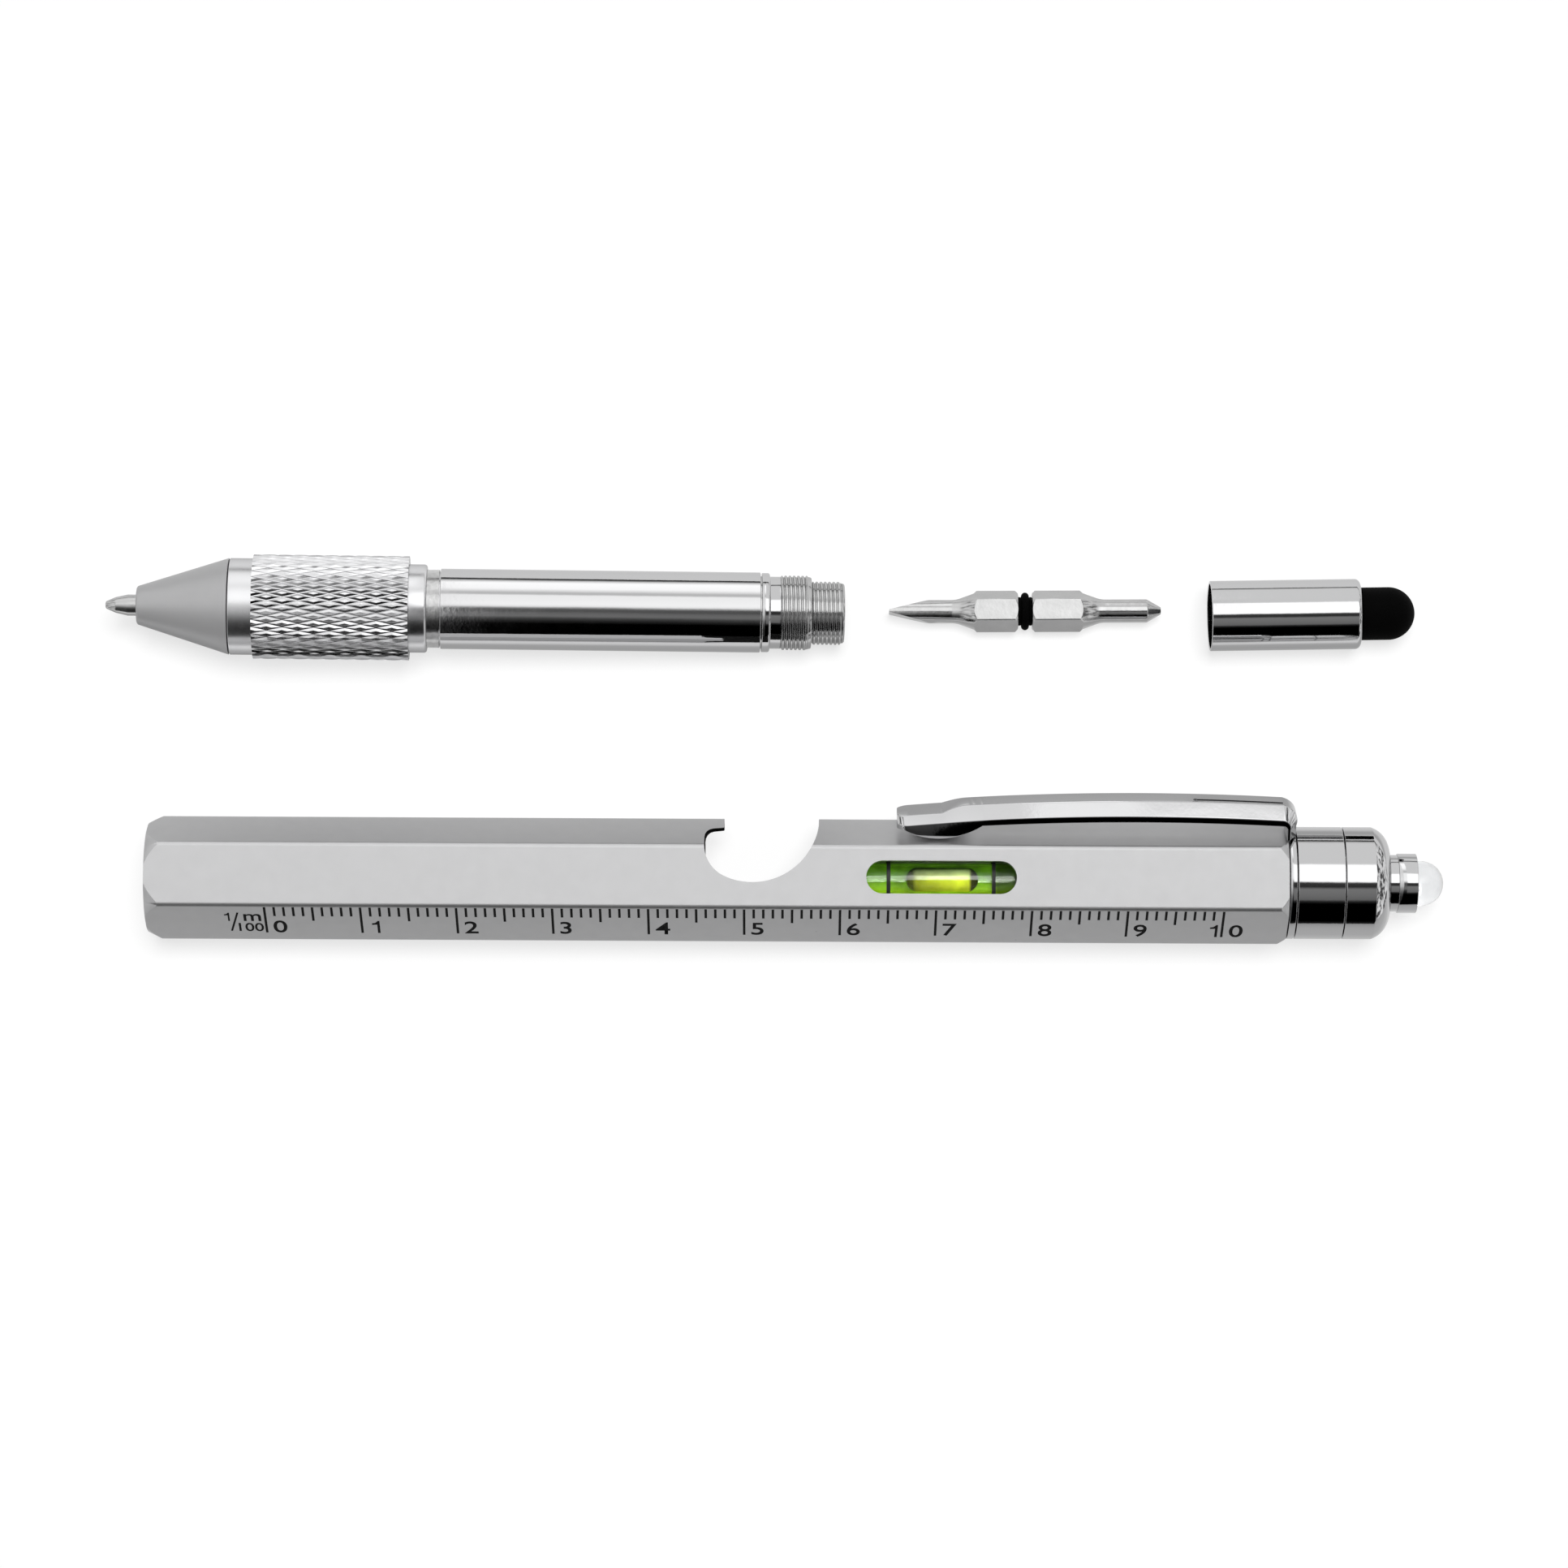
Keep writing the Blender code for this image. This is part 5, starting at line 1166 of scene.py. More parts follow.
class PEN_OT_clip(bpy.types.Operator):
    """Model the bowed, ribbed clip with its contact bump and folded leg"""

    bl_idname = "multi_tool_pen.clip"
    bl_label = "Clip"

    def execute(self, context):
        s = sizes("clip")
        joint = joint_named("clip_flex")
        foot = Vector(joint["pos_m"])
        out = Vector((0, math.cos(math.pi / 6), math.sin(math.pi / 6)))
        across = Vector((0, math.sin(math.pi / 6), -math.cos(math.pi / 6)))
        axes = Matrix((Vector((1, 0, 0)), across, out)).transposed().to_4x4()
        axes.translation = foot
        self.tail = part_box("clip_arm")[0].x - foot.x
        self.arm = -self.tail - s.leg / 2 - s.bend
        reach = (foot - barrel_axes().translation).cross(Vector((1, 0, 0))).length
        self.under = sizes("barrel").flats / 2 + s.clearance - reach
        made = self.loft(s)
        boolean(made, self.groove(s))
        settle(made, axes, math.radians(38))
        dress(made, "clip", "chrome", "chrome", "clip_arm")
        return {"FINISHED"}

    def lift(self, s, place):
        """How far the bowed arm stands above its clearance."""
        along = place / self.arm
        return s.climb * along + s.bow * (1 - (2 * along - 1) ** 2) - s.dip

    def section(self, s, inset, under, wide, rise, share):
        """A cross-section of the arm with soft edges, from the underside to the crest."""
        half = s.tail_half + (s.half_width - s.tail_half) * wide - inset
        side = (s.tail_edge + (s.edge - s.tail_edge) * wide) * share
        top = (s.tail_crest + (s.crest - s.tail_crest) * rise) * share
        crest = s.tail_crest_half + (s.crest_half - s.tail_crest_half) * rise
        crest = min(crest, half * 0.66)
        soft = min(0.0003, half / 6)
        right = [
            (0, under, 0),
            (half, under, soft * 0.4),
            (half, side, soft * 0.8 * share),
            (crest, top, soft * share),
            (0, top, 0),
        ]
        half_points = filleted(right, 5)[1:-1]
        return half_points + [Vector((-y, z)) for y, z in reversed(half_points)]

    def stations(self, s):
        """Places along the arm, closer together where the shape changes."""
        places = [s.tail_round * (1 - math.cos(math.radians(90) * step / 8)) for step in range(9)]
        places += [s.bump_start + s.bump_length * step / 28 for step in range(29)]
        places += [s.rib_start + s.rib_ramp * step / 16 for step in range(17)]
        places += [self.arm * step / 40 for step in range(6, 41)]
        places = sorted(places)
        return [place for place, after in zip(places, places[1:] + [1]) if after - place > WELD * 20]

    def loft(self, s):
        """Skin the arm over its stations, then the fold and the leg."""
        rings = []
        depth = s.bump_depth
        half_chord = s.bump_length / 2
        lens = (half_chord**2 + depth**2) / 2 / depth
        for place in self.stations(s):
            share = min(1, place / s.tail_round)
            inset = s.tail_round * (1 - math.sqrt(1 - (1 - share) ** 2)) * 0.75
            away = place - s.bump_start - half_chord
            drop = 0
            if abs(away) < half_chord:
                drop = math.sqrt(lens**2 - away**2) - (lens - depth)
            climb = min(1, max(0, (place - s.rib_start) / s.rib_ramp))
            rise = math.sin(climb * math.pi / 2)
            wide = min(1, place / s.widening)
            ring = self.section(s, inset, -drop, wide, rise, 1)
            height = self.under + self.lift(s, place)
            rings.append([(self.tail + place, y, height + z) for y, z in ring])
        full = s.crest
        centre_x = self.tail + self.arm
        centre_z = self.under + self.lift(s, self.arm) - s.bend
        for step in range(1, 13):
            turn = math.pi / 2 * step / 12
            share = 1 + (s.leg / full - 1) * step / 12
            ring = self.section(s, 0, 0, 1, 1, share)
            rings.append([
                (centre_x + (s.bend + z) * math.sin(turn), y, centre_z + (s.bend + z) * math.cos(turn))
                for y, z in ring
            ])
        rings.append([(x, y, 0) for x, y, _ in rings[-1]])
        shape = bmesh.new()
        skin = [[shape.verts.new(point) for point in ring] for ring in rings]
        for ring, after in zip(skin, skin[1:]):
            for i, vert in enumerate(ring):
                j = (i + 1) % len(ring)
                shape.faces.new((vert, ring[j], after[j], after[i]))
        shape.faces.new(skin[0])
        shape.faces.new(list(reversed(skin[-1])))
        mesh = bpy.data.meshes.new("spring_clip")
        shape.to_mesh(mesh)
        shape.free()
        made = bpy.data.objects.new("spring_clip", mesh)
        bpy.context.collection.objects.link(made)
        edit(made)
        close_edit()
        return made

    def groove(self, s):
        """The thin round-ended groove along the crest's upper edge at the head."""
        start = self.arm - s.groove_length
        depth = s.groove_width / 2
        y = -s.crest_half + depth * 3
        corners = arc(depth * 1.6, y, depth * 1.6, 90, 270, 10)
        corners += [(depth * 3, y - depth, 0), (s.groove_length, y - depth, 0)]
        corners += [(s.groove_length, y + depth, 0), (depth * 3, y + depth, 0)]
        made = prism("groove", [(x, side) for x, side, _ in corners], -depth * 1.6, s.crest, "Z")
        here = self.lift(s, start)
        slope = math.atan((self.lift(s, self.arm) - here) / s.groove_length)
        place = Matrix.Translation((self.tail + start, 0, self.under + s.crest + here))
        made.data.transform(place @ Matrix.Rotation(-slope, 4, "Y"))
        return made


class PEN_OT_torch(bpy.types.Operator):
    """Model the clip's ring, the torch housing, its cap, the push collar and the light"""

    bl_idname = "multi_tool_pen.torch"
    bl_label = "Torch"

    def execute(self, context):
        s = sizes("torch")
        axes = barrel_axes()
        front = axes.translation.x
        self.place = {node: [corner.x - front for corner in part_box(node)] for node in (
            "clip_ring", "torch_housing", "torch_cap", "torch_button", "led_light",
        )}
        self.ring(s, axes)
        self.housing(s, axes)
        self.cap(s, axes)
        self.button(s, axes)
        self.light(s, axes)
        return {"FINISHED"}

    def ring(self, s, axes):
        """The thin ring that the clip's leg stands on."""
        start, end = self.place["clip_ring"]
        inner = s.spigot + s.gap
        corners = [(start, inner, 0), (start, s.radius, s.edge), (end, s.radius, s.edge), (end, inner, 0)]
        turned("clip_seat_ring", corners, axes, "barrel_group", "chrome", "chrome", "clip_ring")

    def housing(self, s, axes):
        """The head, its spigot and the threaded mouth."""
        start, end = self.place["torch_housing"]
        head = start + s.spigot_length
        mouth = end - s.thread_length - s.gap * 2
        corners = [
            (start, 0, 0),
            (start, s.spigot, s.edge),
            (head, s.spigot, 0),
            (head, s.radius, s.edge),
            (end, s.radius, s.edge),
            (end, s.thread + s.gap, 0),
            (mouth, s.thread + s.gap, 0),
            (mouth, s.spigot - s.wall, 0),
            (start + HOUSING_END, s.spigot - s.wall, 0),
            (start + HOUSING_END, 0, 0),
        ]
        turned("torch_head", corners, axes, "barrel_group", "chrome", "chrome", "torch_housing")

    def cap(self, s, axes):
        """The rounded cap with its thread."""
        start, end = self.place["torch_cap"]
        face = start + s.thread_length
        hole = s.stem + s.gap
        corners = [
            (start, s.cap_bore, 0),
            (start, s.thread, s.edge),
            (face, s.thread, 0),
            (face, s.radius, s.edge),
        ]
        lift = s.radius - s.shoulder * math.sin(math.radians(s.shoulder_start))
        corners += arc(end - s.shoulder, lift, s.shoulder, s.shoulder_start, 0, 24)
        corners += [
            (end, hole, s.edge * 0.6),
            (end - s.end_wall, hole, 0),
            (end - s.end_wall, s.cap_bore, 0),
        ]
        turned("screw_cap", corners, axes, "torch_end", "chrome", "chrome", "torch_cap")

    def button(self, s, axes):
        """The push stem and its collar."""
        start, end = self.place["torch_button"]
        hole = s.light + s.gap
        collar = end - s.collar_length
        corners = [
            (start, hole, 0),
            (start, s.flange, s.edge / 2),
            (start + s.flange_thickness, s.flange, s.edge / 2),
            (start + s.flange_thickness, s.stem, 0),
            (collar, s.stem, 0),
            (collar, s.collar, s.edge * 1.2),
            (end, s.collar, s.edge * 1.2),
            (end, hole, s.edge / 2),
        ]
        turned("push_collar", corners, axes, "push_light", "chrome", "chrome", "torch_button")

    def light(self, s, axes):
        """The clear light with its foot and dome."""
        start, end = self.place["led_light"]
        foot = start + s.foot
        corners = [(start, 0, 0), (start, s.light_flange, 0), (foot, s.light_flange, 0), (foot, s.light, 0)]
        corners += arc(end - s.light, 0, s.light, 90, 0, 24)
        corners[-1] = (end, 0, 0)
        turned("clear_lamp", corners, axes, "push_light", "clear_led", "clear_light", "led_light")


class PEN_OT_nose(bpy.types.Operator):
    """Model the refill's tip and the painted nose cone"""

    bl_idname = "multi_tool_pen.nose"
    bl_label = "Tip and cone"

    def execute(self, context):
        s = sizes("pen")
        axes = pen_axes()
        back = s.tip_length + s.neck_length
        rim = s.ball * 1.35
        corners = [
            (0, 0, 0),
            (0, s.ball, s.ball * 0.7),
            (s.ball * 0.5, rim, 0),
            (s.tip_taper * 0.45, s.tip_radius * 0.74, 0.0012),
            (s.tip_taper, s.tip_radius, 0.0006),
            (s.tip_length, s.tip_radius, HIDDEN_ROUND),
            (s.tip_length, s.neck_radius, 0),
            (back, s.neck_radius, 0),
            (back, 0, 0),
        ]
        turned("refill_point", corners, axes, "refill", "steel", "nickel", "refill_tip", turns=SMALL_TURN)
        end = s.cone_start + s.cone_length
        hole = s.tip_radius + FIT
        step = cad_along("refill_tube", axes)[0] - 0.0002
        corners = [
            (s.cone_start, hole, TURNED_ROUND),
            (s.cone_start, s.nose_radius, 0.0003),
            (end, s.band_radius, 0.00005),
            (end, s.cone_thread, 0),
            (end + s.cone_thread_length, s.cone_thread, HIDDEN_ROUND),
            (end + s.cone_thread_length, s.channel, 0),
            (step, s.channel, 0),
            (step, hole, 0),
        ]
        turned("painted_cone", corners, axes, "cone", "cone_grey", "cone_paint", "nose_cone")
        return {"FINISHED"}


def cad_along(node, axes):
    """Where a node starts and ends along its group's own X axis."""
    inward = axes.inverted()
    places = [(inward @ vertex.co).x for vertex in frame["nodes"][node].data.vertices]
    return min(places), max(places)


class PEN_OT_grip(bpy.types.Operator):
    """Model the grip: plain band, diamond knurl, collar and neck"""

    bl_idname = "multi_tool_pen.grip"
    bl_label = "Knurled grip"

    def execute(self, context):
        s = sizes("pen")
        axes = pen_axes()
        start = s.cone_start + s.cone_length + FIT
        knurl = s.cone_start + s.cone_length + s.band_length
        knurl_back = knurl + s.knurl_length
        collar_back = knurl_back + s.collar_length
        neck_back = collar_back + s.neck_run
        spigot_back = neck_back + s.spigot_length
        valley = s.knurl_radius - s.knurl_depth
        thread = s.cone_thread + FIT
        thread_end = start + s.cone_thread_length + 0.0001
        corners = [
            (start, thread, 0),
            (start, s.band_radius, TURNED_ROUND),
            (knurl, s.band_radius, 0),
            (knurl, valley, 0),
            (knurl_back, valley, 0),
            (knurl_back, s.collar_radius, 0),
            (collar_back, s.collar_radius, 0.0003),
            (collar_back, s.neck, 0.00005),
            (neck_back, s.neck, 0),
            (neck_back, s.spigot, 0),
            (spigot_back, s.spigot, HIDDEN_ROUND),
            (spigot_back, s.channel, 0),
            (thread_end, s.channel, 0),
            (thread_end, thread, 0),
        ]
        turned("grip_core", corners, axes, "pen_unit", "grip_aluminium", "turned_aluminium", "knurled_grip")
        skin = s.neck + 0.00003
        rough = [(collar_back - 0.0001, s.neck - 0.0003, 0), (collar_back - 0.0001, skin, 0)]
        rough += [(neck_back, skin, 0), (neck_back, s.neck - 0.0003, 0)]
        turned("grip_neck", rough, axes, "pen_unit", "grip_aluminium", "worn_nickel", "knurled_grip")
        made = self.knurl(s, knurl, knurl_back, valley)
        settle(made, axes, math.radians(36))
        dress(made, "pen_unit", "grip_aluminium", "knurl_aluminium", "knurled_grip")
        return {"FINISHED"}

    def diamond(self, s, valley, length):
        """One raised diamond: a long pyramid with a soft crest, on the top of the grip."""
        half = math.pi / s.diamonds
        foot = valley - 0.00002
        crest = s.knurl_radius
        side = half * 0.97
        end = length * 0.5
        shape = draw("diamond", [
            Vector((-end, 0, foot)),
            Vector((0, foot * math.sin(side), foot * math.cos(side))),
            Vector((end, 0, foot)),
            Vector((0, -foot * math.sin(side), foot * math.cos(side))),
        ], True)
        bpy.ops.mesh.edge_face_add()
        bpy.ops.mesh.extrude_region_move(TRANSFORM_OT_translate={"value": Vector((0, 0, crest - foot))})
        bpy.ops.transform.resize(value=(s.knurl_crest, s.knurl_crest, 1), center_override=(0, 0, crest))
        flat = bmesh.from_edit_mesh(shape.data)
        for vert in flat.verts:
            if vert.select:
                vert.co.z = crest - abs(vert.co.x) * 0.02
        bmesh.update_edit_mesh(shape.data)
        close_edit()
        return shape

    def knurl(self, s, start, end, valley):
        """Rings of diamonds, each shifted by half a diamond, trimmed at both ends."""
        step = s.knurl_length / s.diamond_rows
        first = self.diamond(s, valley, 2 * step)
        pitch = math.tau / s.diamonds
        ring = [duplicate(first, Matrix.Rotation(pitch * i, 4, "X")) for i in range(s.diamonds)]
        bpy.data.objects.remove(first)
        ring = join("diamond_ring", ring)
        rows = []
        for row in range(s.diamond_rows + 1):
            shift = Matrix.Rotation(pitch / 2 * (row % 2), 4, "X")
            rows.append(duplicate(ring, Matrix.Translation((start + step * row, 0, 0)) @ shift))
        bpy.data.objects.remove(ring)
        made = join("diamond_knurl", rows)
        edit(made)
        bpy.ops.mesh.bisect(plane_co=(start, 0, 0), plane_no=(1, 0, 0), clear_inner=True, use_fill=True)
        bpy.ops.mesh.select_all(action="SELECT")
        bpy.ops.mesh.bisect(plane_co=(end, 0, 0), plane_no=(1, 0, 0), clear_outer=True, use_fill=True)
        bpy.ops.object.mode_set(mode="OBJECT")
        return made


class PEN_OT_tube(bpy.types.Operator):
    """Model the body tube and the threaded tail with its bit socket"""

    bl_idname = "multi_tool_pen.tube"
    bl_label = "Tube and tail"

    def execute(self, context):
        s = sizes("pen")
        axes = pen_axes()
        start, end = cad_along("body_tube", axes)
        inner = s.tube_radius - s.tube_wall
        corners = [
            (start, inner, 0),
            (start, s.tube_radius, TURNED_ROUND),
            (end, s.tube_radius, TURNED_ROUND),
            (end, inner, 0),
        ]
        turned("chrome_tube", corners, axes, "pen_unit", "chrome", "chrome", "body_tube")
        tail_start, tail_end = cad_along("bit_socket_tail", axes)
        ring = tail_start + s.tail_spigot + FIT
        ring_end = ring + s.ring_length - FIT
        thread = ring_end + s.relief_length
        stud = thread + s.thread_length
        root = s.thread_radius - s.thread_depth
        stud_root = s.stud_radius - s.thread_depth
        corners = [
            (tail_start, 0, 0),
            (tail_start, s.spigot, HIDDEN_ROUND),
            (ring, s.spigot, 0),
            (ring, s.ring_radius, HIDDEN_ROUND),
            (ring_end, s.ring_radius, 0.00022),
            (ring_end, s.relief_radius, 0.00005),
            (thread, s.relief_radius, 0),
            (thread, root, 0),
            (stud - 0.0007, root, 0),
            (stud - 0.0006, s.thread_radius - 0.00005, HIDDEN_ROUND),
            (stud, s.thread_radius - 0.0002, HIDDEN_ROUND),
            (stud, stud_root, 0),
            (tail_end - 0.0003, stud_root, 0),
            (tail_end - 0.0003, s.stud_radius - 0.00005, HIDDEN_ROUND),
            (tail_end, s.stud_radius - 0.0003, HIDDEN_ROUND),
            (tail_end, 0, 0),
        ]
        made = lathe("threaded_tail", corners)
        socket = hexagon(s.socket_flats, 0.0002, 3)
        boolean(made, prism("socket", socket, tail_end - s.socket_depth, tail_end + OVERRUN, "X"))
        threads = [
            self.thread(s, thread, stud - 0.0003, root, s.thread_radius),
            self.thread(s, stud, tail_end - 0.0003, stud_root, s.stud_radius),
        ]
        settle(made, axes)
        dress(made, "pen_unit", "steel", "nickel", "bit_socket_tail")
        inward = axes.inverted()
        second_finish(made, "chrome", lambda face: ring - WELD < (inward @ face.center).x < thread + WELD)
        for name, helix in zip(("barrel_thread", "cap_thread"), threads):
            helix.name = name
            settle(helix, axes, math.radians(40))
            dress(helix, "pen_unit", "steel", "nickel", "bit_socket_tail")
        return {"FINISHED"}

    def thread(self, s, start, end, root, crest):
        """A V thread wound by a Screw modifier, with its ends turned off."""
        sunk = root - 0.00004
        first = start - s.pitch
        profile = [(0.03, sunk), (0.24, crest - 0.00004), (0.34, crest), (0.66, crest)]
        profile += [(0.76, crest - 0.00004), (0.97, sunk)]
        made = draw("helix", [Vector((first + s.pitch * along, 0, high)) for along, high in profile], True)
        bpy.ops.object.mode_set(mode="OBJECT")
        screw = made.modifiers.new("thread", "SCREW")
        screw.axis = "X"
        screw.screw_offset = s.pitch
        screw.iterations = math.ceil((end - start) / s.pitch) + 1
        screw.steps = 72
        screw.render_steps = 72
        screw.use_merge_vertices = False
        bpy.ops.object.modifier_apply(modifier="thread")
        edit(made)
        bpy.ops.mesh.select_all(action="DESELECT")
        bpy.ops.mesh.select_non_manifold(extend=False)
        bpy.ops.mesh.edge_face_add()
        close_edit()
        chamfer = crest - root
        ends = [
            (start, 0, 0),
            (start, root, 0),
            (start + chamfer, crest + WELD, 0),
            (end - chamfer, crest + WELD, 0),
            (end, root, 0),
            (end, 0, 0),
        ]
        boolean(made, lathe("thread_ends", ends, SMALL_TURN), "INTERSECT")
        return made


class PEN_OT_bit(bpy.types.Operator):
    """Model the double-ended driver bit and its ring"""

    bl_idname = "multi_tool_pen.bit"
    bl_label = "Driver bit"

    def execute(self, context):
        s = sizes("bit")
        hexagon_start = s.blade + s.front_shank + s.flare
        groove = hexagon_start + s.front_hex
        groove_end = groove + s.groove
        hexagon_end = groove_end + s.rear_hex
        end = hexagon_end + s.flare + s.rear_shank + s.cross
        axes = level_axes("driver_bit", s.turn, end)
        corner = corner_reach(s.flats)
        corners = [
            (-OVERRUN, 0, 0),
            (-OVERRUN, s.shank, 0),
            (s.blade + s.front_shank, s.shank, 0.003),
            (hexagon_start, s.flats / 2 - 0.00003, 0),
            (hexagon_start + s.land_chamfer, corner, 0),
            (groove - s.land_chamfer, corner, 0),
            (groove, s.flats / 2 - 0.00003, 0.0001),
            (groove, s.groove_radius, 0),
            (groove_end, s.groove_radius, 0),
            (groove_end, s.flats / 2 - 0.00003, 0.0001),
            (groove_end + s.land_chamfer, corner, 0),
            (hexagon_end - s.land_chamfer, corner, 0),
            (hexagon_end, s.flats / 2 - 0.00003, 0),
            (hexagon_end + s.flare, s.shank, 0.003),
            (end - s.cross, s.shank, 0.0004),
            (end, s.cross_tip, 0.00005),
            (end, 0, 0),
        ]
        made = prism("hexagon_bit", hexagon(s.flats, s.corner_round, 4), 0, end, "X")
        boolean(made, lathe("bit_envelope", corners, SMALL_TURN, 8), "INTERSECT")
        for side in (1, -1):
            boolean(made, self.blade_wedge(s, side))
        for quarter in range(4):
            boolean(made, self.flute(s, end, quarter))
        soften(made, 0.00003)
        settle(made, axes)
        dress(made, "bit", "steel", "nickel", "driver_bit")
        low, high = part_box("bit_ring")
        radius = (high.z - low.z) / 2 - s.ring_section
        side = s.groove / 2 - 0.00002
        section = [(-side, s.groove_radius, 0), (-side, s.groove_radius + 0.0002, 0.0001)]
        section += arc(0, radius, s.ring_section, 195, -15, 18)
        section += [(side, s.groove_radius + 0.0002, 0.0001), (side, s.groove_radius, 0)]
        ring_axes = axes.copy()
        ring_axes.translation = (low + high) / 2
        turned("seal_ring", section, ring_axes, "bit", "rubber", "rubber", "bit_ring", turns=SMALL_TURN)
        return {"FINISHED"}

    def blade_wedge(self, s, side):
        """A wedge that leaves the flat blade."""
        tip = s.blade_tip / 2
        slope = (s.shank - tip) / s.blade
        far = s.shank + OVERRUN
        outline = [
            (-OVERRUN, side * (tip - slope * OVERRUN)),
            (s.blade + OVERRUN, side * (s.shank + slope * OVERRUN)),
            (s.blade + OVERRUN, side * far),
            (-OVERRUN, side * far),
        ]
        return prism("wedge", outline, -far, far, "Z")

    def flute(self, s, end, quarter):
        """A tapered flute between two wings of the cross point."""
        start = end - s.flute
        outer = s.shank + OVERRUN
        shape = draw("flute", [
            Vector((start, s.shank * 0.9, s.shank * 0.9)),
            Vector((start, outer, s.shank * 0.9)),
            Vector((start, outer, outer)),
            Vector((start, s.shank * 0.9, outer)),
        ], True)
        bpy.ops.mesh.edge_face_add()
        bpy.ops.mesh.extrude_region_move(TRANSFORM_OT_translate={"value": Vector((s.flute + OVERRUN, 0, 0))})
        sunk = s.wing / 2 - s.shank * 0.9
        bpy.ops.transform.translate(value=(0, sunk, sunk))
        close_edit()
        shape.data.transform(Matrix.Rotation(quarter * math.pi / 2, 4, "X"))
        return shape


class PEN_OT_stylus(bpy.types.Operator):
    """Model the stylus cap: chrome sleeve and soft domed tip"""

    bl_idname = "multi_tool_pen.stylus"
    bl_label = "Stylus cap"

    def execute(self, context):
        s = sizes("stylus")
        axes = level_axes("stylus_sleeve", s.turn, s.length)
        inner = s.radius - s.wall
        hole = s.tip_radius - s.wall + 0.0001
        corners = [
            (0, inner, 0.00005),
            (0, s.radius, 0.00008),
            (s.length, s.radius, s.edge),
            (s.length, hole, 0),
            (s.length - s.end_wall, hole, 0),
            (s.length - s.end_wall, inner, 0),
        ]
        made = settle(lathe("stylus_tube", corners, FINE_TURN, 8), axes)
        dress(made, "stylus_cap", "chrome", "chrome", "stylus_sleeve")
        start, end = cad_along("stylus_tip", axes)
        neck = hole - 0.0001
        flange_end = s.length - s.end_wall - 0.0001
        face = s.length + 0.0001
        low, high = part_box("stylus_tip")
        flange = (high.z - low.z) / 2
        bore = s.tip_radius - TIP_SKIN
        corners = [
            (start, bore, 0),
            (start, flange, 0.0001),
            (flange_end, flange, 0.0001),
            (flange_end, neck, 0),
            (face, neck, 0),
            (face, s.tip_radius, 0.0001),
        ]
        corners += arc(end - s.tip_radius, 0, s.tip_radius, 90, 0, 24)
        corners[-1] = (end, 0, 0)
        corners += [(end - TIP_SKIN, 0, 0)] + arc(end - s.tip_radius, 0, bore, 0, 90, 12)[1:]
        outline = filleted(corners)
        made = draw("soft_dome", [Vector((along, 0, max(0, radius))) for along, radius in outline], True)
        bpy.ops.mesh.spin(steps=FINE_TURN, angle=math.tau, center=(0, 0, 0), axis=(1, 0, 0))
        close_edit()
        settle(made, axes)
        dress(made, "stylus_cap", "rubber", "rubber", "stylus_tip")
        return {"FINISHED"}


class PEN_OT_inner(bpy.types.Operator):
    """Give the solids that stay their finishes"""

    bl_idname = "multi_tool_pen.inner"
    bl_label = "Inner pieces"

    def execute(self, context):
        kept = {
            "nickel": (
                "thread_sleeve", "battery_spring", "button_cell_1", "button_cell_2", "button_cell_3",
                "button_spring", "stylus_core",
            ),
            "white_plastic": ("vial_carrier", "refill_tube"),
            "brass": ("contact_disc",),
            "black_plastic": ("refill_seat",),
        }
        for look, nodes in kept.items():
            for node in nodes:
                materials = frame["nodes"][node].data.materials
                materials.clear()
                materials.append(finish(look))
        return {"FINISHED"}


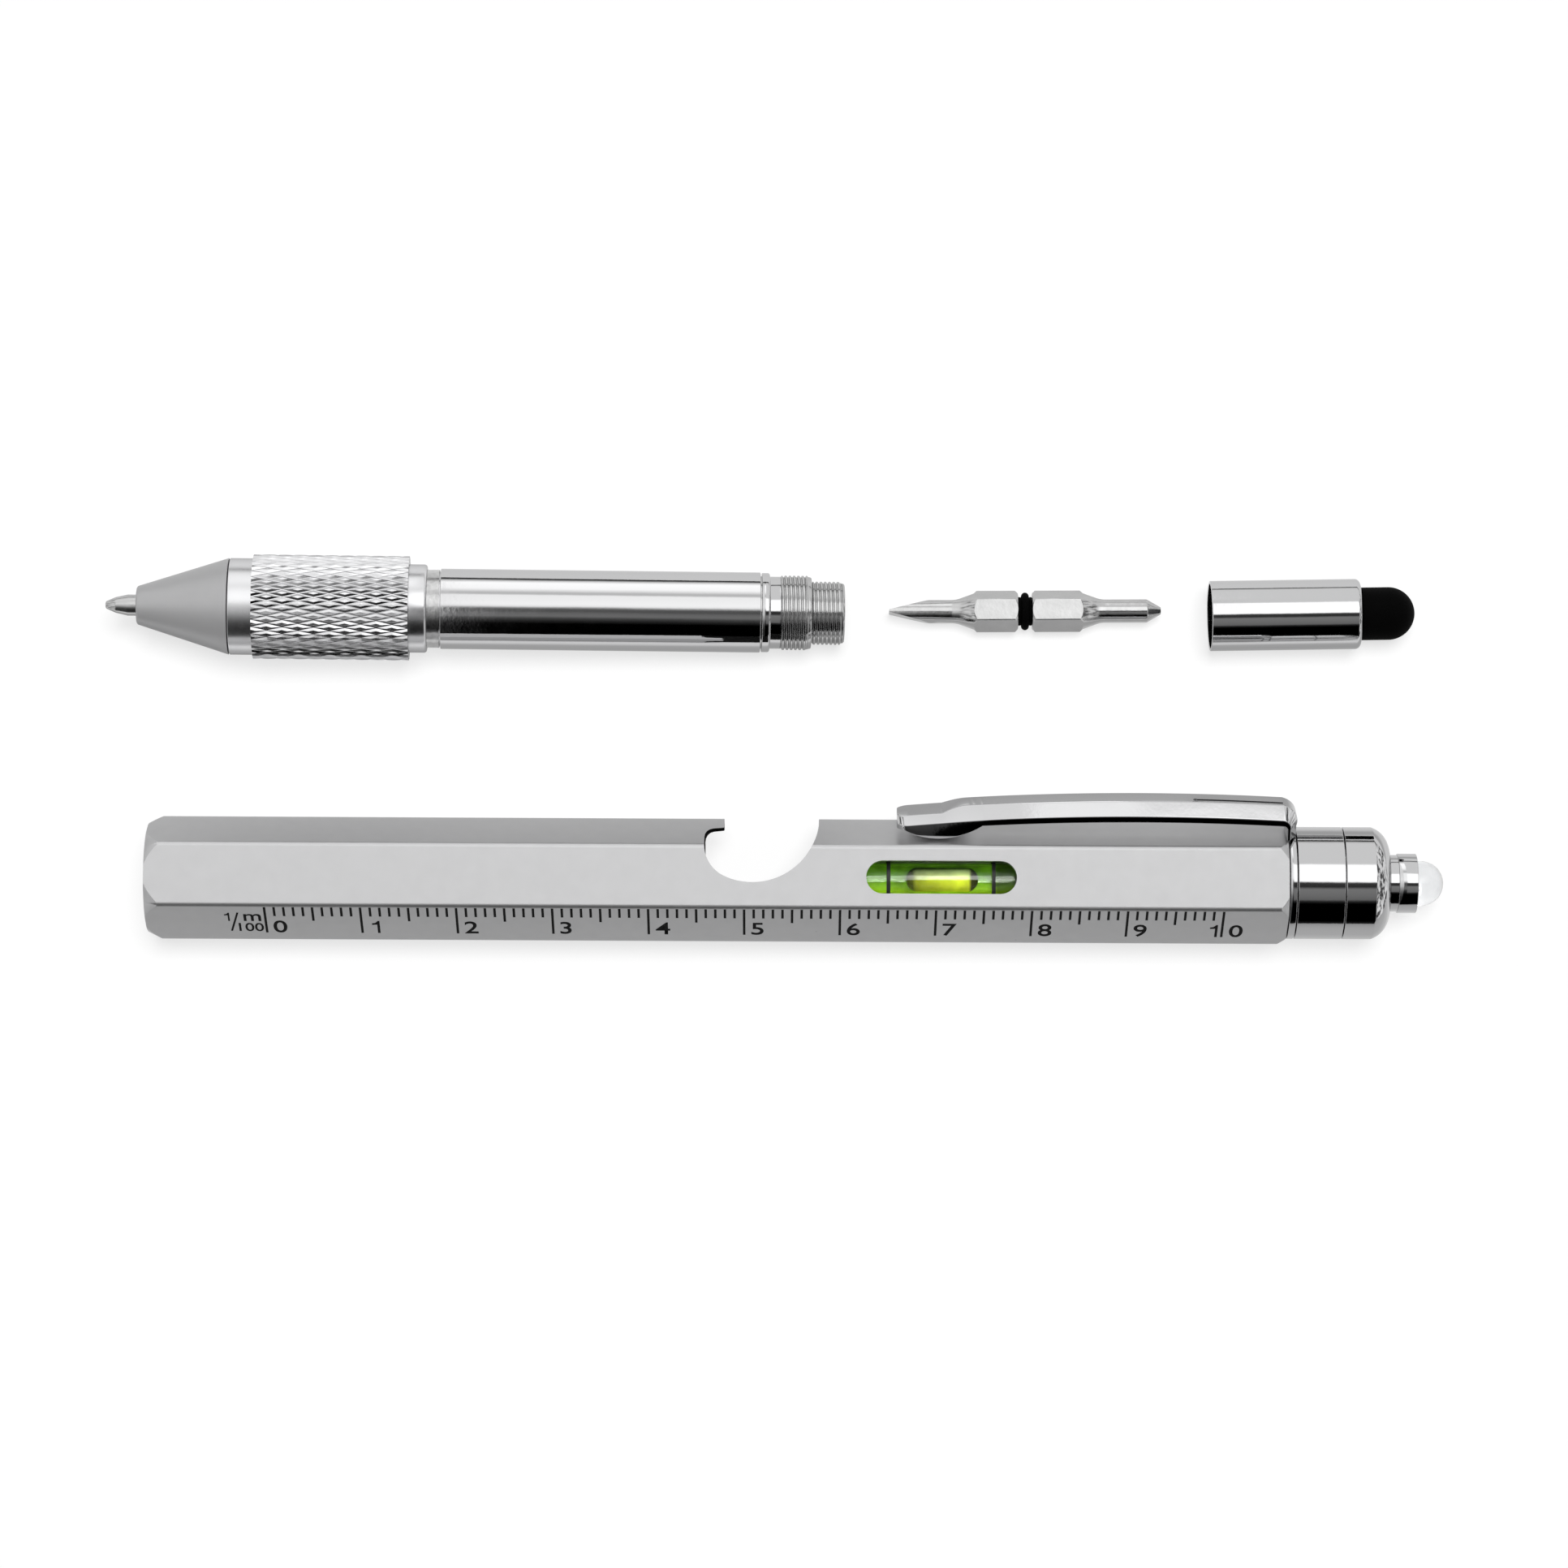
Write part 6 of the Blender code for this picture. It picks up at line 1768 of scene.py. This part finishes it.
class PEN_OT_stage(bpy.types.Operator):
    """Lay the white table, set the light and place the camera"""

    bl_idname = "multi_tool_pen.stage"
    bl_label = "Stage"

    def execute(self, context):
        s = sizes("stage")
        context.scene.view_settings.view_transform = "Standard"
        self.table(s)
        self.sky(s)
        fresh()
        lean = (-math.radians(s.sun_lean), math.radians(s.sun_side), 0)
        bpy.ops.object.light_add(type="SUN", rotation=lean)
        sun = context.object
        sun.name = "overhead_light"
        sun.data.energy = s.sun_power
        sun.data.angle = math.radians(s.sun_softness)
        sun.visible_glossy = False
        self.camera(s)
        return {"FINISHED"}

    def table(self, s):
        """A white table that the metal reflects a little darker than the camera sees it."""
        fresh()
        bpy.ops.mesh.primitive_plane_add(size=s.table_size)
        table = bpy.context.object
        table.name = "table"
        material = bpy.data.materials.new("white_table")
        tree = Graph(material, clear=True)
        tone = self.tone(tree)
        matte = tree.out("BsdfDiffuse", {"Color": tone})
        glow = tree.out("Emission", {"Color": tone})
        shown = tree.out("MixShader", {"Fac": s.table_glow, 1: matte, 2: glow})
        dim = tree.out("BsdfDiffuse", {"Color": (0.45, 0.45, 0.45, 1)})
        choice = tree.out("MixShader", {"Fac": self.seen(tree), 1: dim, 2: shown})
        tree.node("OutputMaterial", {"Surface": choice})
        table.data.materials.append(material)

    def tone(self, tree):
        """White to the camera; in the metal, painted shade graded across the table."""
        place = tree.node("TexCoord").outputs["Object"]
        across = tree.node("SeparateXYZ", {"Vector": place}).outputs["Y"]
        near, far = TABLE_IN_METAL[0][0], TABLE_IN_METAL[-1][0]
        stops = [((y - near) / (far - near), grey) for y, grey in TABLE_IN_METAL]
        # Painted shade in the metal, graded across the table
        painted_shade_in_metal = tree.ramp(tree.span(across, near, far), stops)
        shown = tree.node("LightPath").outputs["Is Camera Ray"]
        return tree.mixed(shown, painted_shade_in_metal, WHITE)

    def seen(self, tree):
        """One for rays from the camera, from gloss and through glass."""
        path = tree.node("LightPath").outputs
        gloss = tree.out("Math", {0: path["Is Camera Ray"], 1: path["Is Glossy Ray"]}, operation="MAXIMUM")
        return tree.out("Math", {0: gloss, 1: path["Is Transmission Ray"]}, operation="MAXIMUM")

    def sky(self, s):
        """White to the camera, and soft boxes and black cards over the table for the metal."""
        world = bpy.data.worlds.new("studio")
        bpy.context.scene.world = world
        tree = Graph(world, clear=True)
        way = tree.node("TexCoord").outputs["Generated"]
        split = tree.node("SeparateXYZ", {"Vector": way}).outputs
        turn = tree.out("Math", {0: split["Y"], 1: split["Z"]}, operation="ARCTAN2")
        spread = tree.span(turn, -math.pi, math.pi)
        bent = tree.out("Math", {0: turn}, operation="COSINE")
        part = tree.out("Math", {0: bent, 1: SEAM_BEND, 2: split["X"]}, operation="MULTIPLY_ADD")
        colour = self.boxes(tree, spread, BOXES_OVER_GRIP, s.boxes)
        for stops, seam in ((BOXES_OVER_TUBE, TUBE_SEAM), (BOXES_OVER_TORCH, TORCH_SEAM)):
            blend = tree.span(part, *seam, "SMOOTHSTEP")
            colour = tree.mixed(blend, colour, self.boxes(tree, spread, stops, s.boxes))
        aside = tree.out("Math", {0: split["X"]}, operation="ABSOLUTE")
        clutter = tree.node("TexNoise", {"Vector": way, "Scale": 6.0, "Detail": 3.0}).outputs["Fac"]
        room = tree.ramp(clutter, [(place, grey / s.boxes) for place, grey in ROOM_ENDS])
        colour = tree.mixed(tree.span(aside, *ROOM_SEAM, "SMOOTHSTEP"), colour, room)
        boxes = tree.out("Background", {"Color": colour, "Strength": s.boxes})
        plain = tree.out("Background", {"Color": WHITE, "Strength": s.fill})
        white = tree.out("Background", {"Color": WHITE})
        metal = tree.out("MixShader", {"Fac": self.seen(tree), 1: plain, 2: boxes})
        shown = tree.node("LightPath").outputs["Is Camera Ray"]
        tree.node("OutputWorld", {"Surface": tree.out("MixShader", {"Fac": shown, 1: metal, 2: white})})

    def boxes(self, tree, spread, stops, strength):
        """A ramp of the light boxes; below the table's edge it is dark."""
        stops = [(-180, 0.01), (-90.5, 0.01)] + stops + [(92, 0.03), (180, 0.03)]
        return tree.ramp(spread, [((angle + 180) / 360, grey / strength) for angle, grey in stops])

    def camera(self, s):
        """Look down on the table from a little in front, at the photograph's angle."""
        tilt = math.radians(s.camera_tilt)
        roll = math.radians(s.camera_roll)
        back = Vector((0, -math.sin(tilt), math.cos(tilt)))
        right = Vector((1, 0, 0))
        up = back.cross(right)
        side = right * math.cos(roll) + up * math.sin(roll)
        axes = Matrix((side, back.cross(side), back)).transposed()
        place = Vector((s.aim_x, s.aim_y, s.aim_height)) + back * s.camera_distance
        fresh()
        bpy.ops.object.camera_add(location=place, rotation=axes.to_euler())
        camera = bpy.context.object
        camera.data.sensor_width = 36
        camera.data.lens = s.camera_lens
        camera.data.clip_start = 0.01
        bpy.context.scene.camera = camera


OPERATORS = [
    PEN_OT_stage,
    PEN_OT_inner,
    PEN_OT_barrel,
    PEN_OT_ruler,
    PEN_OT_vial,
    PEN_OT_clip,
    PEN_OT_torch,
    PEN_OT_nose,
    PEN_OT_grip,
    PEN_OT_tube,
    PEN_OT_bit,
    PEN_OT_stylus,
]


class PEN_PT_panel(bpy.types.Panel):
    """The sidebar panel that lists the settings and the pieces"""

    bl_idname = "PEN_PT_panel"
    bl_label = "Multi tool pen"
    bl_space_type = "VIEW_3D"
    bl_region_type = "UI"
    bl_category = "Multi tool pen"

    def draw(self, context):
        for operator in OPERATORS:
            self.layout.operator(operator.bl_idname)
        for group, kind in GROUPS.items():
            box = self.layout.box()
            box.label(text=group.title())
            for name in kind.__annotations__:
                box.prop(sizes(group), name, text=name.replace("_", " ").capitalize())


def register():
    for kind in (*GROUPS.values(), *OPERATORS, PEN_PT_panel):
        bpy.utils.register_class(kind)
    for group, kind in GROUPS.items():
        setattr(bpy.types.Scene, "multi_tool_pen_" + group, PointerProperty(type=kind))


def unregister():
    for group in GROUPS:
        delattr(bpy.types.Scene, "multi_tool_pen_" + group)
    for kind in (*GROUPS.values(), *OPERATORS, PEN_PT_panel):
        bpy.utils.unregister_class(kind)


def main():
    register()
    for operator in OPERATORS:
        piece = operator.bl_idname.split(".")[1]
        getattr(bpy.ops.multi_tool_pen, piece)()


if __name__ == "__main__":
    main()
